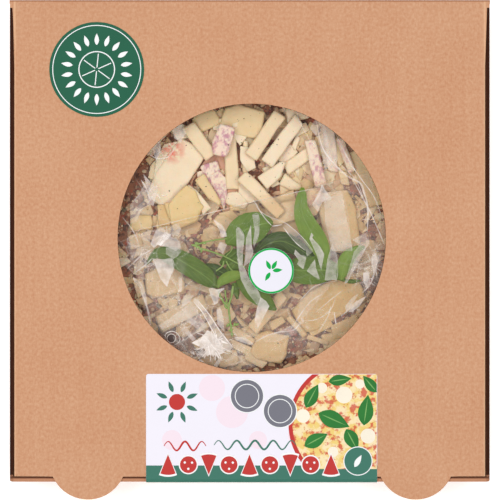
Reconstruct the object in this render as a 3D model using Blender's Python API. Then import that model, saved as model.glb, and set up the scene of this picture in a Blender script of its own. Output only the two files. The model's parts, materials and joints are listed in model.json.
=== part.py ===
"""A wrapped pizza in its corrugated box.

The box is a tray with a lid that hinges on the tray's back wall and has a round window, two half
round tabs and tuck flaps. The pizza is a dough base with sauce and pieces of cheese, and a sealed
pouch of leaves lies on it. Metres, +Z up, +Y towards the hinge, origin under the middle of the
box at the surface that it stands on.
"""
import math
import random

import bmesh
import bpy
from mathutils import Matrix, Vector, noise

MM = 0.001

# Box
BOX_WIDTH = 310 * MM
BOX_DEPTH = 311 * MM
BOX_HEIGHT = 40 * MM
BOARD = 2 * MM
FRONT_WALL = 2.8 * MM
GAP = 0.3 * MM
TAB_REACH = 11.4 * MM
TRAY_FOLD_RADIUS = 1 * MM

# Lid
LID_WIDTH = 304.1 * MM
LID_WIDTH_NEAR_FOLD = 306.2 * MM
LID_FRONT_INSET = 3.5 * MM
LID_FOLD_RADIUS = 1.2 * MM
FLAP_DEPTH = 28 * MM
FLAP_SLANT = 2 * MM
FLAP_EDGE_INSET = 0.1 * MM
WINDOW_RADIUS = 86.6 * MM
WINDOW_CENTRE = (1.3 * MM, 7.8 * MM)
WINDOW_SIDES = 96
TAB_RADIUS = 24.7 * MM
TAB_CENTRES_X = (-104.4 * MM, 107.1 * MM)
TAB_SIDES = 20

# Stickers and front label
STICKER_THICKNESS = 0.2 * MM
STICKER_LIFT = 0.12 * MM
ROUND_STICKER_CENTRE = (-98.7 * MM, 116.4 * MM)
ROUND_STICKER_RADIUS = 30.6 * MM
LABEL_LEFT = -66.9 * MM
LABEL_RIGHT = 82.2 * MM
LABEL_BACK = -80 * MM
LABEL_SKIRT = 12 * MM
LABEL_CORNER = 1.9 * MM

# Pizza
PIZZA_RADIUS = 138 * MM
DOUGH_FLOOR = 9.5 * MM
RIM_HEIGHT = 20.5 * MM
SAUCE_RADIUS = 116 * MM
SAUCE_TOP = 12.4 * MM
CHEESE_BASE = 13.6 * MM
LAYER_GAP = 0.35 * MM
PIZZA_SIDES = 56

# Pouch of leaves
POUCH_LENGTH = 165 * MM
POUCH_WIDTH = 104 * MM
POUCH_TURN = math.radians(15)
POUCH_OFFSET = (12 * MM, -26 * MM)
POUCH_SEAM = 7 * MM
POUCH_SEAM_THICKNESS = 1 * MM
POUCH_BULGE = 3.6 * MM
POUCH_LEVEL = 30.2 * MM
POUCH_STICKER_RADIUS = 14.8 * MM
POUCH_STICKER_OFFSET = (13.8 * MM, -19.2 * MM)

TOTAL_DEPTH = BOX_DEPTH + TAB_REACH
BACK = TOTAL_DEPTH / 2
FRONT = BACK - BOX_DEPTH
SIDE = BOX_WIDTH / 2
WALL_TOP = BOX_HEIGHT - BOARD - GAP
LID_FRONT = FRONT + LID_FRONT_INSET
PIZZA_CENTRE = Vector((0, (FRONT + BACK) / 2, 0))

# Cheese pieces from the lowest to the topmost: shape, x and y from the pizza's middle, length,
# width, thickness, all in millimetres, and the turn of the length from +X in degrees.
CHEESE = {
    "slab_upper_left": ("slab", -49, 45, 48, 22, 4.2, 56),
    "slab_right": ("slab", 59, 14, 40, 24, 4.4, -81),
    "slab_lower_right": ("slab", 52, -40, 50, 24, 4.0, 30),
    "block_top": ("slab", -5, 79, 27, 19, 4.6, -11),
    "block_top_left": ("slab", -29, 79, 17, 11, 4.2, 21),
    "chunk_left": ("slab", -56, -26, 26, 18, 4.6, 7),
    "chunk_low": ("slab", 13, -69, 23, 19, 4.6, -12),
    "chunk_middle": ("slab", 28, 20, 34, 13, 3.6, 13),
    "stub_yellow": ("slab", -56, 11, 11, 10, 4.2, 80),
    "wedge_yellow": ("wedge", -42, 20, 25, 20, 4.8, 25),
    "slab_lower_left": ("stick", -44, -47, 35, 11, 4.2, 29),
    "slab_right_edge": ("stick", 77, 41, 40, 11, 4.2, -68),
    "slab_low_edge": ("stick", 60, -64, 26, 9, 4.0, 13),
    "stub_left": ("slab", -71, 12, 14, 9, 4.4, 3),
    "stub_low": ("slab", -14, -77, 13, 10, 4.4, 9),
    "stub_centre": ("slab", -17, 12, 13, 9, 4.0, -29),
    "stub_top_right": ("stick", 31, 84, 14, 9, 4.0, 15),
    "shred_pink_low": ("wedge", -22, 41, 22, 12, 3.0, -62),
    "stick_upper_left": ("stick", -33, 66, 26, 9, 3.6, -52),
    "stick_middle": ("stick", -12, 51, 34, 8, 4.2, -85),
    "stub_middle": ("slab", -8, 27, 15, 9, 4.2, -16),
    "shred_middle": ("stick", -3, 55, 22, 3, 2.6, 89),
    "stick_top_a": ("stick", 10, 69, 35, 8.5, 4.2, 57),
    "stick_top_b": ("stick", 21.5, 65, 37, 8.3, 4.2, 54),
    "stick_right_a": ("stick", 32, 53, 20, 7.5, 4.0, 36),
    "wedge_kinked": ("wedge", 15, 45, 20, 10, 4.0, 44),
    "wedge_tip": ("wedge", 27, 38, 14, 8, 3.8, -22),
    "stick_pink": ("stick", 43, 51, 31, 7, 4.2, -75),
    "stick_edge": ("stick", 53, 62, 34, 7, 4.2, -83),
    "stick_right_b": ("stick", 63, 56, 24, 4.5, 3.2, -68),
    "shred_pink_top": ("slab", -17.5, 66, 21, 11, 2.8, 72),
    "stick_diagonal": ("stick", 8, 30, 38, 8, 4.4, -44),
    "sliver_yellow": ("wedge", -26, 33, 24, 7, 3.2, -53),
    "lump_right": ("slab", 42, 29, 12, 10, 3.6, 13),
    "stick_low": ("stick", 12, -46, 32, 8, 4.2, 50),
    "shred_low_a": ("stick", -6, -61, 19, 4, 2.8, -30),
    "shred_low_b": ("stick", -28, -64, 20, 6, 3.0, 32),
    "shred_low_c": ("stick", 31, -56, 18, 3.5, 2.8, -48),
    "shred_left": ("stick", -62, 66, 18, 5, 3.0, 48),
}

# Corners of each cheese shape, as shares of half its length and half its width
CHEESE_SHAPES = {
    "slab": ((-1.0, -0.75), (-0.6, -1.0), (0.85, -0.95), (1.0, -0.3), (0.9, 0.9), (-0.3, 1.0), (-0.95, 0.6)),
    "stick": ((-1.0, -0.9), (0.93, -1.0), (1.0, 0.85), (-0.92, 1.0)),
    "wedge": ((-1.0, -0.9), (0.2, -1.0), (1.0, -0.25), (0.85, 0.25), (-0.9, 0.95)),
}

# Pieces of cheese of the hidden outer ring, fused to the sauce
RING_PIECES = 26
RING_INNER = 94 * MM
RING_OUTER = 108 * MM


def clear_scene():
    for obj in list(bpy.data.objects):
        bpy.data.objects.remove(obj, do_unlink=True)


def material(name, colour, roughness):
    """A plain Principled material."""
    made = bpy.data.materials.new(name)
    made.use_nodes = True
    shader = made.node_tree.nodes["Principled BSDF"]
    shader.inputs["Base Color"].default_value = (*colour, 1)
    shader.inputs["Roughness"].default_value = roughness
    shader.inputs["Metallic"].default_value = 0
    return made


def add_object(name, bm, finish, parent=None, sharp_angle=40):
    """Turns a bmesh into a named object with its finish, outward faces and smooth round parts."""
    bmesh.ops.recalc_face_normals(bm, faces=bm.faces)
    mesh = bpy.data.meshes.new(name)
    bm.to_mesh(mesh)
    bm.free()
    mesh.shade_smooth()
    mesh.set_sharp_from_angle(angle=math.radians(sharp_angle))
    if finish:
        mesh.materials.append(finish)
    obj = bpy.data.objects.new(name, mesh)
    bpy.context.scene.collection.objects.link(obj)
    if parent:
        obj.parent = parent
        obj.matrix_parent_inverse = parent.matrix_world.inverted()
    return obj


def join_by_union(obj, others):
    """Fuses the other objects into obj with one applied Boolean union, and removes them."""
    group = bpy.data.collections.new(obj.name + "_parts")
    bpy.context.scene.collection.children.link(group)
    for other in others:
        bpy.context.scene.collection.objects.unlink(other)
        group.objects.link(other)
    fuse = obj.modifiers.new("Fuse", "BOOLEAN")
    fuse.operation = "UNION"
    fuse.operand_type = "COLLECTION"
    fuse.collection = group
    fuse.solver = "MANIFOLD"
    apply_modifiers(obj)
    for other in others:
        bpy.data.objects.remove(other, do_unlink=True)
    bpy.data.collections.remove(group)


def cut(obj, cutter):
    """Cuts a closed shape out of obj, and removes the cutter."""
    cutter.hide_render = True
    cutter.display_type = "WIRE"
    hole = obj.modifiers.new("Cut", "BOOLEAN")
    hole.operation = "DIFFERENCE"
    hole.object = cutter
    hole.solver = "MANIFOLD"
    apply_modifiers(obj)
    bpy.data.objects.remove(cutter, do_unlink=True)


def apply_modifiers(obj):
    bpy.context.view_layer.update()
    evaluated = obj.evaluated_get(bpy.context.evaluated_depsgraph_get())
    applied = bpy.data.meshes.new_from_object(evaluated)
    obj.modifiers.clear()
    obj.data = applied


def prism(outline, low, high):
    """A bmesh prism over a flat outline of (x, y) points."""
    bm = bmesh.new()
    base = bm.faces.new([bm.verts.new((x, y, low)) for x, y in outline])
    walls = bmesh.ops.extrude_face_region(bm, geom=[base])
    top = [item for item in walls["geom"] if isinstance(item, bmesh.types.BMVert)]
    bmesh.ops.translate(bm, verts=top, vec=(0, 0, high - low))
    return bm


def arc(centre, radius, start, end, steps):
    """Points of an arc from one angle to another, both in radians."""
    turns = [start + (end - start) * step / steps for step in range(steps + 1)]
    return [(centre[0] + radius * math.cos(turn), centre[1] + radius * math.sin(turn)) for turn in turns]


def cells(xs, ys, zs, is_filled):
    """The skin of the filled cells of a grid of blocks."""
    bm = bmesh.new()
    corners = {}

    def corner(i, j, k):
        if (i, j, k) not in corners:
            corners[i, j, k] = bm.verts.new((xs[i], ys[j], zs[k]))
        return corners[i, j, k]

    def filled(i, j, k):
        inside = 0 <= i < len(xs) - 1 and 0 <= j < len(ys) - 1 and 0 <= k < len(zs) - 1
        return inside and is_filled(i, j, k)

    steps = ((1, 0, 0), (0, 1, 0), (0, 0, 1))
    for i in range(len(xs) - 1):
        for j in range(len(ys) - 1):
            for k in range(len(zs) - 1):
                if not filled(i, j, k):
                    continue
                for axis, step in enumerate(steps):
                    across = steps[(axis + 1) % 3]
                    along = steps[(axis + 2) % 3]
                    for side in (0, 1):
                        offset = 1 if side else -1
                        if filled(*(value + offset * move for value, move in zip((i, j, k), step))):
                            continue
                        ring = []
                        for u, v in ((0, 0), (1, 0), (1, 1), (0, 1)):
                            place = [value + side * move for value, move in zip((i, j, k), step)]
                            place = [value + u * a + v * b for value, a, b in zip(place, across, along)]
                            ring.append(corner(*place))
                        bm.faces.new(ring if side else ring[::-1])
    return bm


def make_tray(finish):
    """Floor and four walls. The back wall's top is mitred up to the lid's fold."""
    xs = (-SIDE, -SIDE + BOARD, SIDE - BOARD, SIDE)
    ys = (FRONT, FRONT + FRONT_WALL, BACK - BOARD, BACK)
    zs = (0, BOARD, WALL_TOP)
    bm = cells(xs, ys, zs, lambda i, j, k: not (i == 1 and j == 1 and k == 1))
    for vert in bm.verts:
        if vert.co.y > BACK - GAP and vert.co.z > BOARD:
            vert.co.z += BOARD
    folds = []
    for edge in bm.edges:
        a, b = (vert.co for vert in edge.verts)
        upright = abs(a.x - b.x) < GAP and abs(a.y - b.y) < GAP
        at_corner = abs(abs(a.x) - SIDE) < GAP and min(abs(a.y - FRONT), abs(a.y - BACK)) < GAP
        front_top = max(abs(a.y - FRONT), abs(b.y - FRONT)) < GAP and min(a.z, b.z) > BOARD + GAP
        if (upright and at_corner) or front_top:
            folds.append(edge)
    bmesh.ops.bevel(bm, geom=folds, offset=TRAY_FOLD_RADIUS, segments=2, affect="EDGES", profile=0.5)
    return add_object("tray", bm, finish)


def lid_outline():
    """Outline of the lid's panel seen from above, with the two tabs, running anticlockwise."""
    half = LID_WIDTH / 2
    near_fold = LID_WIDTH_NEAR_FOLD / 2
    tab_middle = LID_FRONT + TAB_RADIUS * 0.4
    dip = math.asin((tab_middle - LID_FRONT) / TAB_RADIUS)
    left = [(-SIDE, BACK), (-SIDE, BACK - 2.4 * MM), (-near_fold, BACK - 5 * MM), (-half, BACK - 43 * MM)]
    front = [(-half, LID_FRONT)]
    for x in TAB_CENTRES_X:
        front += arc((x, tab_middle), TAB_RADIUS, math.pi + dip, 2 * math.pi - dip, TAB_SIDES)
    front.append((half, LID_FRONT))
    right = [(-x, y) for x, y in reversed(left)]
    return left + front + right


def make_flap(outline, place):
    """A flat flap of board. Its outline's x runs along the fold and its y goes down from it."""
    bm = prism(outline, 0, BOARD)
    for vert in bm.verts:
        slant = FLAP_SLANT * max(-vert.co.y, 0) / FLAP_DEPTH
        vert.co.z += slant
    bmesh.ops.transform(bm, matrix=place, verts=bm.verts)
    return add_object("flap", bm, None)


def flap_place(origin, along, inward):
    """Turns a flap's own x, y and z to the fold's direction, up, and inward."""
    turned = Matrix((along, (0, 0, 1), inward)).transposed().to_4x4()
    return Matrix.Translation(origin) @ turned


def make_lid(finish, hinge):
    """Panel with a round window, two tabs in its plane, and three tuck flaps folded down."""
    low = BOX_HEIGHT - BOARD
    bm = prism(lid_outline(), low, BOX_HEIGHT)
    for vert in bm.verts:
        if vert.co.y > BACK - GAP and vert.co.z < BOX_HEIGHT - GAP:
            vert.co.y -= BOARD
    half = LID_WIDTH / 2
    folds = []
    for edge in bm.edges:
        a, b = (vert.co for vert in edge.verts)
        on_top = min(a.z, b.z) > BOX_HEIGHT - GAP
        on_side = min(abs(a.x), abs(b.x)) > half - GAP and max(a.y, b.y) < BACK - 5 * MM
        on_front = max(abs(a.y - LID_FRONT), abs(b.y - LID_FRONT)) < GAP and abs(a.x - b.x) > BOARD
        if on_top and (on_side or on_front):
            folds.append(edge)
    bmesh.ops.bevel(bm, geom=folds, offset=LID_FOLD_RADIUS, segments=3, affect="EDGES", profile=0.5)
    lid = add_object("lid", bm, finish, parent=hinge)

    overlap = BOARD / 2
    corner = FLAP_DEPTH * 0.45
    top = low + overlap
    flap_drop = overlap + FLAP_DEPTH
    side_front = LID_FRONT + 8 * MM
    side_length = BACK - 12 * MM - side_front
    side_outline = [
        (0, 0), (0, -flap_drop + corner), (corner, -flap_drop),
        (side_length - corner, -flap_drop), (side_length, -flap_drop + corner), (side_length, 0),
    ]
    edge = half - FLAP_EDGE_INSET
    left = make_flap(side_outline, flap_place((-edge, side_front, top), (0, 1, 0), (1, 0, 0)))
    right_outline = [(-x, y) for x, y in reversed(side_outline)]
    right = make_flap(right_outline, flap_place((edge, side_front, top), (0, -1, 0), (-1, 0, 0)))
    front = make_flap(front_flap_outline(flap_drop, corner, overlap),
                      flap_place((0, LID_FRONT + FLAP_EDGE_INSET, top), (-1, 0, 0), (0, 1, 0)))
    join_by_union(lid, [left, right, front])

    window = prism(arc(WINDOW_CENTRE, WINDOW_RADIUS, 0, 2 * math.pi * (1 - 1 / WINDOW_SIDES), WINDOW_SIDES - 1),
                   low - BOARD, BOX_HEIGHT + BOARD)
    cut(lid, add_object("window_cutter", window, None))
    return lid


def front_flap_outline(drop, corner, overlap):
    """Front flap, with the half round hollows that its two tabs were cut from."""
    reach = LID_WIDTH / 2 - 5 * MM
    sag = TAB_RADIUS * 0.6
    half_chord = math.sqrt(TAB_RADIUS ** 2 - (TAB_RADIUS - sag) ** 2)
    points = [(reach, 0), (reach, -drop + corner), (reach - corner, -drop)]
    points = [(-x, y) for x, y in points] + [(x, y) for x, y in reversed(points)]
    dip = math.asin((TAB_RADIUS - sag) / TAB_RADIUS)
    for x in sorted((-x for x in TAB_CENTRES_X), reverse=True):
        points += [(x + half_chord, 0)]
        points += arc((x, -overlap + TAB_RADIUS - sag), TAB_RADIUS, -dip, -math.pi + dip, 10)
        points += [(x - half_chord, 0)]
    return points


def make_disc(name, centre, radius, low, finish, parent=None):
    sides = 56
    outline = arc(centre, radius, 0, 2 * math.pi * (1 - 1 / sides), sides - 1)
    return add_object(name, prism(outline, low, low + STICKER_THICKNESS), finish, parent=parent)


def make_front_label(finish, hinge):
    """Label that lies on the lid and folds down over the front wall."""
    level = BOX_HEIGHT + STICKER_LIFT
    bend = 3 * MM
    face = FRONT - 0.25 * MM
    profile = [(LABEL_BACK - share * LABEL_CORNER, level) for share in (0, 0.1, 0.4, 1)]
    profile += [(y, level) for y in (LABEL_BACK - 30 * MM, face + bend)]
    quarter = arc((face + bend, level - bend), bend, math.pi / 2, math.pi, 6)
    profile += quarter[1:]
    bottom = level - bend - LABEL_SKIRT
    profile += [(face, bottom + share * LABEL_CORNER) for share in (1, 0.4, 0.1, 0)]
    inset = {0: 0.7, 1: 0.42, 2: 0.12}
    last = len(profile) - 1
    bm = bmesh.new()
    rows = []
    for index, (y, z) in enumerate(profile):
        before = Vector(profile[max(index - 1, 0)])
        after = Vector(profile[min(index + 1, last)])
        run = (after - before).normalized()
        outward = Vector((0, run.y, -run.x)) * STICKER_THICKNESS
        narrow = LABEL_CORNER * inset.get(min(index, last - index), 0)
        ends = (Vector((LABEL_LEFT + narrow, y, z)), Vector((LABEL_RIGHT - narrow, y, z)))
        rows.append([bm.verts.new(end) for end in ends] + [bm.verts.new(end + outward) for end in reversed(ends)])
    for near, far in zip(rows, rows[1:]):
        for side in range(4):
            bm.faces.new((near[side], near[(side + 1) % 4], far[(side + 1) % 4], far[side]))
    bm.faces.new(rows[0])
    bm.faces.new(rows[-1][::-1])
    return add_object("front_label", bm, finish, parent=hinge)


def wobble(turn, size, seed):
    """An uneven but closed change along a round edge."""
    place = Vector((math.cos(turn) * 1.7, math.sin(turn) * 1.7, seed))
    return size * noise.noise(place) * 2


def turned_rings(rings):
    """Skins a stack of closed rings of points, with a point at each end's middle."""
    bm = bmesh.new()
    loops = [[bm.verts.new(point) for point in ring] for ring in rings]
    count = len(loops[0])
    for near, far in zip(loops, loops[1:]):
        for step in range(count):
            following = (step + 1) % count
            bm.faces.new((near[step], near[following], far[following], far[step]))
    for loop in (loops[0], loops[-1]):
        middle = bm.verts.new(sum((vert.co for vert in loop), Vector()) / count)
        for step in range(count):
            bm.faces.new((loop[step], loop[(step + 1) % count], middle))
    return bm


def make_crust(finish):
    """Dough base with its uneven raised rim."""
    floor = BOARD + GAP
    profile = (
        (0.50, floor, 0), (0.90, floor, 0), (0.955, floor + 1.2 * MM, 0.3), (0.99, floor + 5 * MM, 0.6),
        (1.0, floor + 9 * MM, 1), (0.975, floor + 14 * MM, 1), (0.935, RIM_HEIGHT - 1.2 * MM, 1),
        (0.905, RIM_HEIGHT, 1), (0.875, RIM_HEIGHT - 2.5 * MM, 0.7),
    )
    rings = []
    turns = [2 * math.pi * step / PIZZA_SIDES for step in range(PIZZA_SIDES)]
    for share, height, loose in profile:
        ring = []
        for turn in turns:
            radius = PIZZA_RADIUS * share + loose * wobble(turn, 1.6 * MM, 2) + loose * wobble(3 * turn, 0.8 * MM, 5)
            lift = loose * wobble(2 * turn, 1.3 * MM, 9) if height > floor + 6 * MM else 0
            place = (math.cos(turn) * radius, math.sin(turn) * radius, height + lift)
            ring.append(PIZZA_CENTRE + Vector(place))
        rings.append(ring)
    for share, height in ((1.008, SAUCE_TOP + 1 * MM), (1.004, DOUGH_FLOOR), (0.4, DOUGH_FLOOR)):
        ring = []
        for turn in turns:
            radius = sauce_edge(turn) * share + GAP
            ring.append(PIZZA_CENTRE + Vector((math.cos(turn) * radius, math.sin(turn) * radius, height)))
        rings.append(ring)
    return add_object("crust", turned_rings(rings), finish, sharp_angle=70)


def sauce_edge(turn):
    return SAUCE_RADIUS + wobble(turn, 1.5 * MM, 14)


def cheese_outline(shape, x, y, length, width, turn, rng, jitter=0.07):
    """Corners of one piece of cheese in metres from the pizza's middle."""
    tilt = Matrix.Rotation(math.radians(turn), 2)
    corners = []
    for share_x, share_y in CHEESE_SHAPES[shape]:
        along = share_x * length / 2 * (1 + rng.uniform(-jitter, jitter))
        across = share_y * width / 2 * (1 + rng.uniform(-jitter, jitter))
        corners.append((tilt @ Vector((along, across)) + Vector((x, y))) * MM)
    return corners


def outlines_meet(first, second, margin):
    """Whether two convex outlines come nearer than the margin."""
    for outline in (first, second):
        for a, b in zip(outline, outline[1:] + outline[:1]):
            normal = Vector((b.y - a.y, a.x - b.x)).normalized()
            spans = [[corner.dot(normal) for corner in other] for other in (first, second)]
            if min(spans[1]) > max(spans[0]) + margin or min(spans[0]) > max(spans[1]) + margin:
                return False
    return True


def make_cheese_piece(name, outline, low, thickness, finish):
    """A cut piece of cheese with softened edges."""
    placed = [(corner.x + PIZZA_CENTRE.x, corner.y + PIZZA_CENTRE.y) for corner in outline]
    bm = prism(placed, low, low + thickness)
    top = [edge for edge in bm.edges if min(vert.co.z for vert in edge.verts) > low + thickness / 2]
    bmesh.ops.bevel(bm, geom=top, offset=0.6 * MM, segments=1, affect="EDGES")
    return add_object(name, bm, finish)


def make_cheese(finish):
    """Every piece of cheese in the window, each laid on the pieces that it crosses."""
    rng = random.Random(7)
    laid = []
    for name, (shape, x, y, length, width, thickness, turn) in CHEESE.items():
        outline = cheese_outline(shape, x, y, length, width, turn, rng)
        low = CHEESE_BASE
        for other, top in laid:
            if outlines_meet(outline, other, LAYER_GAP):
                low = max(low, top + LAYER_GAP)
        make_cheese_piece("cheese_" + name, outline, low, thickness * MM, finish)
        laid.append((outline, low + thickness * MM))
    return [outline for outline, top in laid]


def make_sauce(finish, taken):
    """Sauce over the dough, with the cheese of the hidden outer ring fused to it."""
    shares = (0.985, 1.0, 0.97, 0.84, 0.68, 0.5, 0.32, 0.14)
    heights = (DOUGH_FLOOR + GAP, DOUGH_FLOOR + 1.2 * MM) + (SAUCE_TOP,) * 6
    rings = []
    for level, (share, height) in enumerate(zip(shares, heights)):
        ring = []
        for step in range(PIZZA_SIDES):
            turn = 2 * math.pi * step / PIZZA_SIDES
            radius = sauce_edge(turn) * share
            place = Vector((math.cos(turn) * radius, math.sin(turn) * radius, height))
            if level > 2:
                place.z += 0.7 * MM * noise.noise(place / (9 * MM))
            ring.append(PIZZA_CENTRE + place)
        rings.append(ring)
    sauce = add_object("sauce", turned_rings(rings), finish, sharp_angle=60)
    rng = random.Random(21)
    pieces = []
    for index in range(RING_PIECES):
        turn = 360 * (index + rng.uniform(-0.2, 0.2)) / RING_PIECES
        reach = rng.uniform(RING_INNER, RING_OUTER) / MM
        x = reach * math.cos(math.radians(turn))
        y = reach * math.sin(math.radians(turn))
        shape = rng.choice(("slab", "stick"))
        length = rng.uniform(13, 20)
        width = rng.uniform(7, 10) if shape == "stick" else rng.uniform(9, 13)
        outline = cheese_outline(shape, x, y, length, width, turn + rng.uniform(55, 125), rng)
        if any(outlines_meet(outline, other, LAYER_GAP) for other in taken):
            continue
        top = SAUCE_TOP + rng.uniform(3, 5) * MM
        pieces.append(make_cheese_piece("ring_piece", outline, SAUCE_TOP - 1 * MM, top - SAUCE_TOP, None))
        taken = taken + [outline]
    join_by_union(sauce, pieces)
    return sauce


def make_pouch(finish):
    """Sealed pouch, flat at its seams and filled out unevenly between them."""
    columns = 26
    rows = 17
    place = Matrix.Translation(PIZZA_CENTRE + Vector((*POUCH_OFFSET, POUCH_LEVEL))) @ Matrix.Rotation(POUCH_TURN, 4, "Z")
    half_length = POUCH_LENGTH / 2
    half_width = POUCH_WIDTH / 2

    def fill(u, v):
        inner = min(half_length - abs(u), half_width - abs(v)) - POUCH_SEAM
        share = max(min(inner / (24 * MM), 1), 0)
        return math.sin(share * math.pi / 2)

    bm = bmesh.new()
    grids = []
    for side in (-1, 1):
        grid = []
        for i in range(columns + 1):
            line = []
            for j in range(rows + 1):
                u = half_length * (2 * i / columns - 1)
                v = half_width * (2 * j / rows - 1)
                swell = fill(u, v)
                bumps = 0.9 * MM * noise.noise(Vector((u, v, side)) / (15 * MM)) * swell
                wave = 0.8 * MM * noise.noise(Vector((u, v, 0)) / (45 * MM))
                height = side * (POUCH_SEAM_THICKNESS / 2 + POUCH_BULGE * swell) + bumps + wave
                line.append(bm.verts.new(place @ Vector((u, v, height))))
            grid.append(line)
        grids.append(grid)
        for i in range(columns):
            for j in range(rows):
                bm.faces.new((grid[i][j], grid[i + 1][j], grid[i + 1][j + 1], grid[i][j + 1]))
    under, over = grids
    border = [(i, 0) for i in range(columns)] + [(columns, j) for j in range(rows)]
    border += [(i, rows) for i in range(columns, 0, -1)] + [(0, j) for j in range(rows, 0, -1)]
    for (i, j), (k, m) in zip(border, border[1:] + border[:1]):
        bm.faces.new((under[i][j], under[k][m], over[k][m], over[i][j]))
    return add_object("leaf_pouch", bm, finish, sharp_angle=60)


def make_pouch_sticker(finish):
    """Small round sticker on the top of the pouch, laid over its highest point there."""
    centre = (PIZZA_CENTRE.x + POUCH_STICKER_OFFSET[0], PIZZA_CENTRE.y + POUCH_STICKER_OFFSET[1])
    level = POUCH_LEVEL + POUCH_SEAM_THICKNESS / 2 + POUCH_BULGE + 1.3 * MM
    return make_disc("pouch_sticker", centre, POUCH_STICKER_RADIUS, level, finish)


def main():
    clear_scene()
    board = material("kraft_board", (0.60, 0.36, 0.21), 0.8)
    green_paper = material("green_paper", (0.035, 0.15, 0.095), 0.4)
    pale_paper = material("pale_paper", (0.93, 0.92, 0.98), 0.4)
    dough = material("dough", (0.72, 0.52, 0.30), 0.7)
    sauce = material("sauce", (0.30, 0.09, 0.05), 0.45)
    cheese = material("cheese", (0.88, 0.74, 0.50), 0.5)
    film = material("clear_film", (0.55, 0.62, 0.42), 0.2)

    hinge = bpy.data.objects.new("lid_hinge", None)
    hinge.location = (0, BACK, BOX_HEIGHT)
    bpy.context.scene.collection.objects.link(hinge)
    bpy.context.view_layer.update()

    make_tray(board)
    make_lid(board, hinge)
    sticker_level = BOX_HEIGHT + STICKER_LIFT
    make_disc("round_sticker", ROUND_STICKER_CENTRE, ROUND_STICKER_RADIUS, sticker_level, green_paper, hinge)
    make_front_label(pale_paper, hinge)
    make_crust(dough)
    taken = make_cheese(cheese)
    make_sauce(sauce, taken)
    make_pouch(film)
    make_pouch_sticker(pale_paper)


main()
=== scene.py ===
"""Looks of a wrapped pizza in its corrugated box.

Each operator dresses one group of pieces over the packed model: the board, the stickers, the dough,
the sauce, the cheese, the film over the pizza, and the pouch of leaves that lies on it. Metres, +Z up,
+Y towards the hinge. Places that were read from the photograph are pixels of its 500 by 500 frame,
and seen_at() turns them into places in the object's frame.
"""

import json
import random
from math import cos, degrees, exp, pi, radians, sin, tau

import bmesh
import bpy
import numpy as np
from bpy.props import FloatProperty, FloatVectorProperty, IntProperty, PointerProperty
from mathutils import Matrix, Vector, noise
from mathutils.bvhtree import BVHTree

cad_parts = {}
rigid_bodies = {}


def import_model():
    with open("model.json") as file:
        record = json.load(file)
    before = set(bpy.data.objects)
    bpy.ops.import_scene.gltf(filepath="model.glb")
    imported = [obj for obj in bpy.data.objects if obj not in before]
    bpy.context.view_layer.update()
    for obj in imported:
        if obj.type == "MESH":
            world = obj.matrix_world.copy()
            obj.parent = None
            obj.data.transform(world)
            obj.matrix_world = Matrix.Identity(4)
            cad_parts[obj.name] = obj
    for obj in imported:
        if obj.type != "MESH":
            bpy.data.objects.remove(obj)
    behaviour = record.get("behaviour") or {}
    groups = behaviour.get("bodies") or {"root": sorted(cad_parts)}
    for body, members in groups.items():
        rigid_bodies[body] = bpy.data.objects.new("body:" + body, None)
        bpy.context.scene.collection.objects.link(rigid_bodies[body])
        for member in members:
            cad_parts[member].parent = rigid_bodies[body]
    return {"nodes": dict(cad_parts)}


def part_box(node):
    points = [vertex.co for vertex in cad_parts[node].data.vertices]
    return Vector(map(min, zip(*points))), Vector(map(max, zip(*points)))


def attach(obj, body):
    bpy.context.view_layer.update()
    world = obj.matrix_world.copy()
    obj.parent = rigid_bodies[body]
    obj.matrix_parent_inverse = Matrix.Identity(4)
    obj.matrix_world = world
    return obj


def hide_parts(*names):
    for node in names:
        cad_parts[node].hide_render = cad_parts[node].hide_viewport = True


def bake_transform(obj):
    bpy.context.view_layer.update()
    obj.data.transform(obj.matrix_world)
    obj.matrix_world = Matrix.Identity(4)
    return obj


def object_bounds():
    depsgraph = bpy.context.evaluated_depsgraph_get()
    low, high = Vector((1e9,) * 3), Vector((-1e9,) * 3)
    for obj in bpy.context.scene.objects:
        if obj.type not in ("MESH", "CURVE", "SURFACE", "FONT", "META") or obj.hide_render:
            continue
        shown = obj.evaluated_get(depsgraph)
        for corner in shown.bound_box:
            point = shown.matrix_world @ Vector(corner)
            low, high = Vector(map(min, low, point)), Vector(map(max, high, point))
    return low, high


bl_info = {
    "name": "Wrapped pizza in its box",
    "version": (1, 0, 0),
    "blender": (4, 5, 0),
    "location": "3D View > Sidebar > Pizza box",
    "description": "Builds the finished looks of a wrapped pizza in its corrugated box",
    "category": "Object",
}

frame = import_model()
NODES = frame["nodes"]
CAD_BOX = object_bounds()
MM = 0.001
UP = Vector((0, 0, 1))

# Driving places, taken from the packed model
LID_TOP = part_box("lid")[1].z
BOARD = 2 * MM
BACK = CAD_BOX[1].y
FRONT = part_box("tray")[0].y
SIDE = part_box("tray")[1].x
LID_SIDE = 152.05 * MM
LID_FRONT = FRONT + 3.5 * MM
WALL_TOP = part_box("tray")[1].z - BOARD
PIZZA_CENTRE = Vector((0, (CAD_BOX[0].y + BACK) / 2, 0))
PIZZA_RADIUS = 138 * MM
SAUCE_LEVEL = 12.4 * MM
WINDOW_CENTRE = Vector((1.3 * MM, 7.8 * MM, 0))
WINDOW_RADIUS = 86.6 * MM

# The camera looks straight down from this height over the lid
CAMERA_HEIGHT = 1.4
PHOTO_SIDE = 500
PHOTO_MIDDLE = (249.75, 249.9)
PIXELS_ACROSS_BOX = 480.5
PHOTO_SCALE = 2 * SIDE / PIXELS_ACROSS_BOX


def seen_at(px, py, level):
    """The place at a height that the photograph shows at a pixel."""
    scale = PHOTO_SCALE * (CAMERA_HEIGHT + LID_TOP - level) / CAMERA_HEIGHT
    return Vector(((px - PHOTO_MIDDLE[0]) * scale, (PHOTO_MIDDLE[1] - py) * scale, level))


def grouped(numbers, count=2):
    """A flat row of numbers as tuples of so many."""
    return list(zip(*[iter(numbers)] * count))


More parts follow.
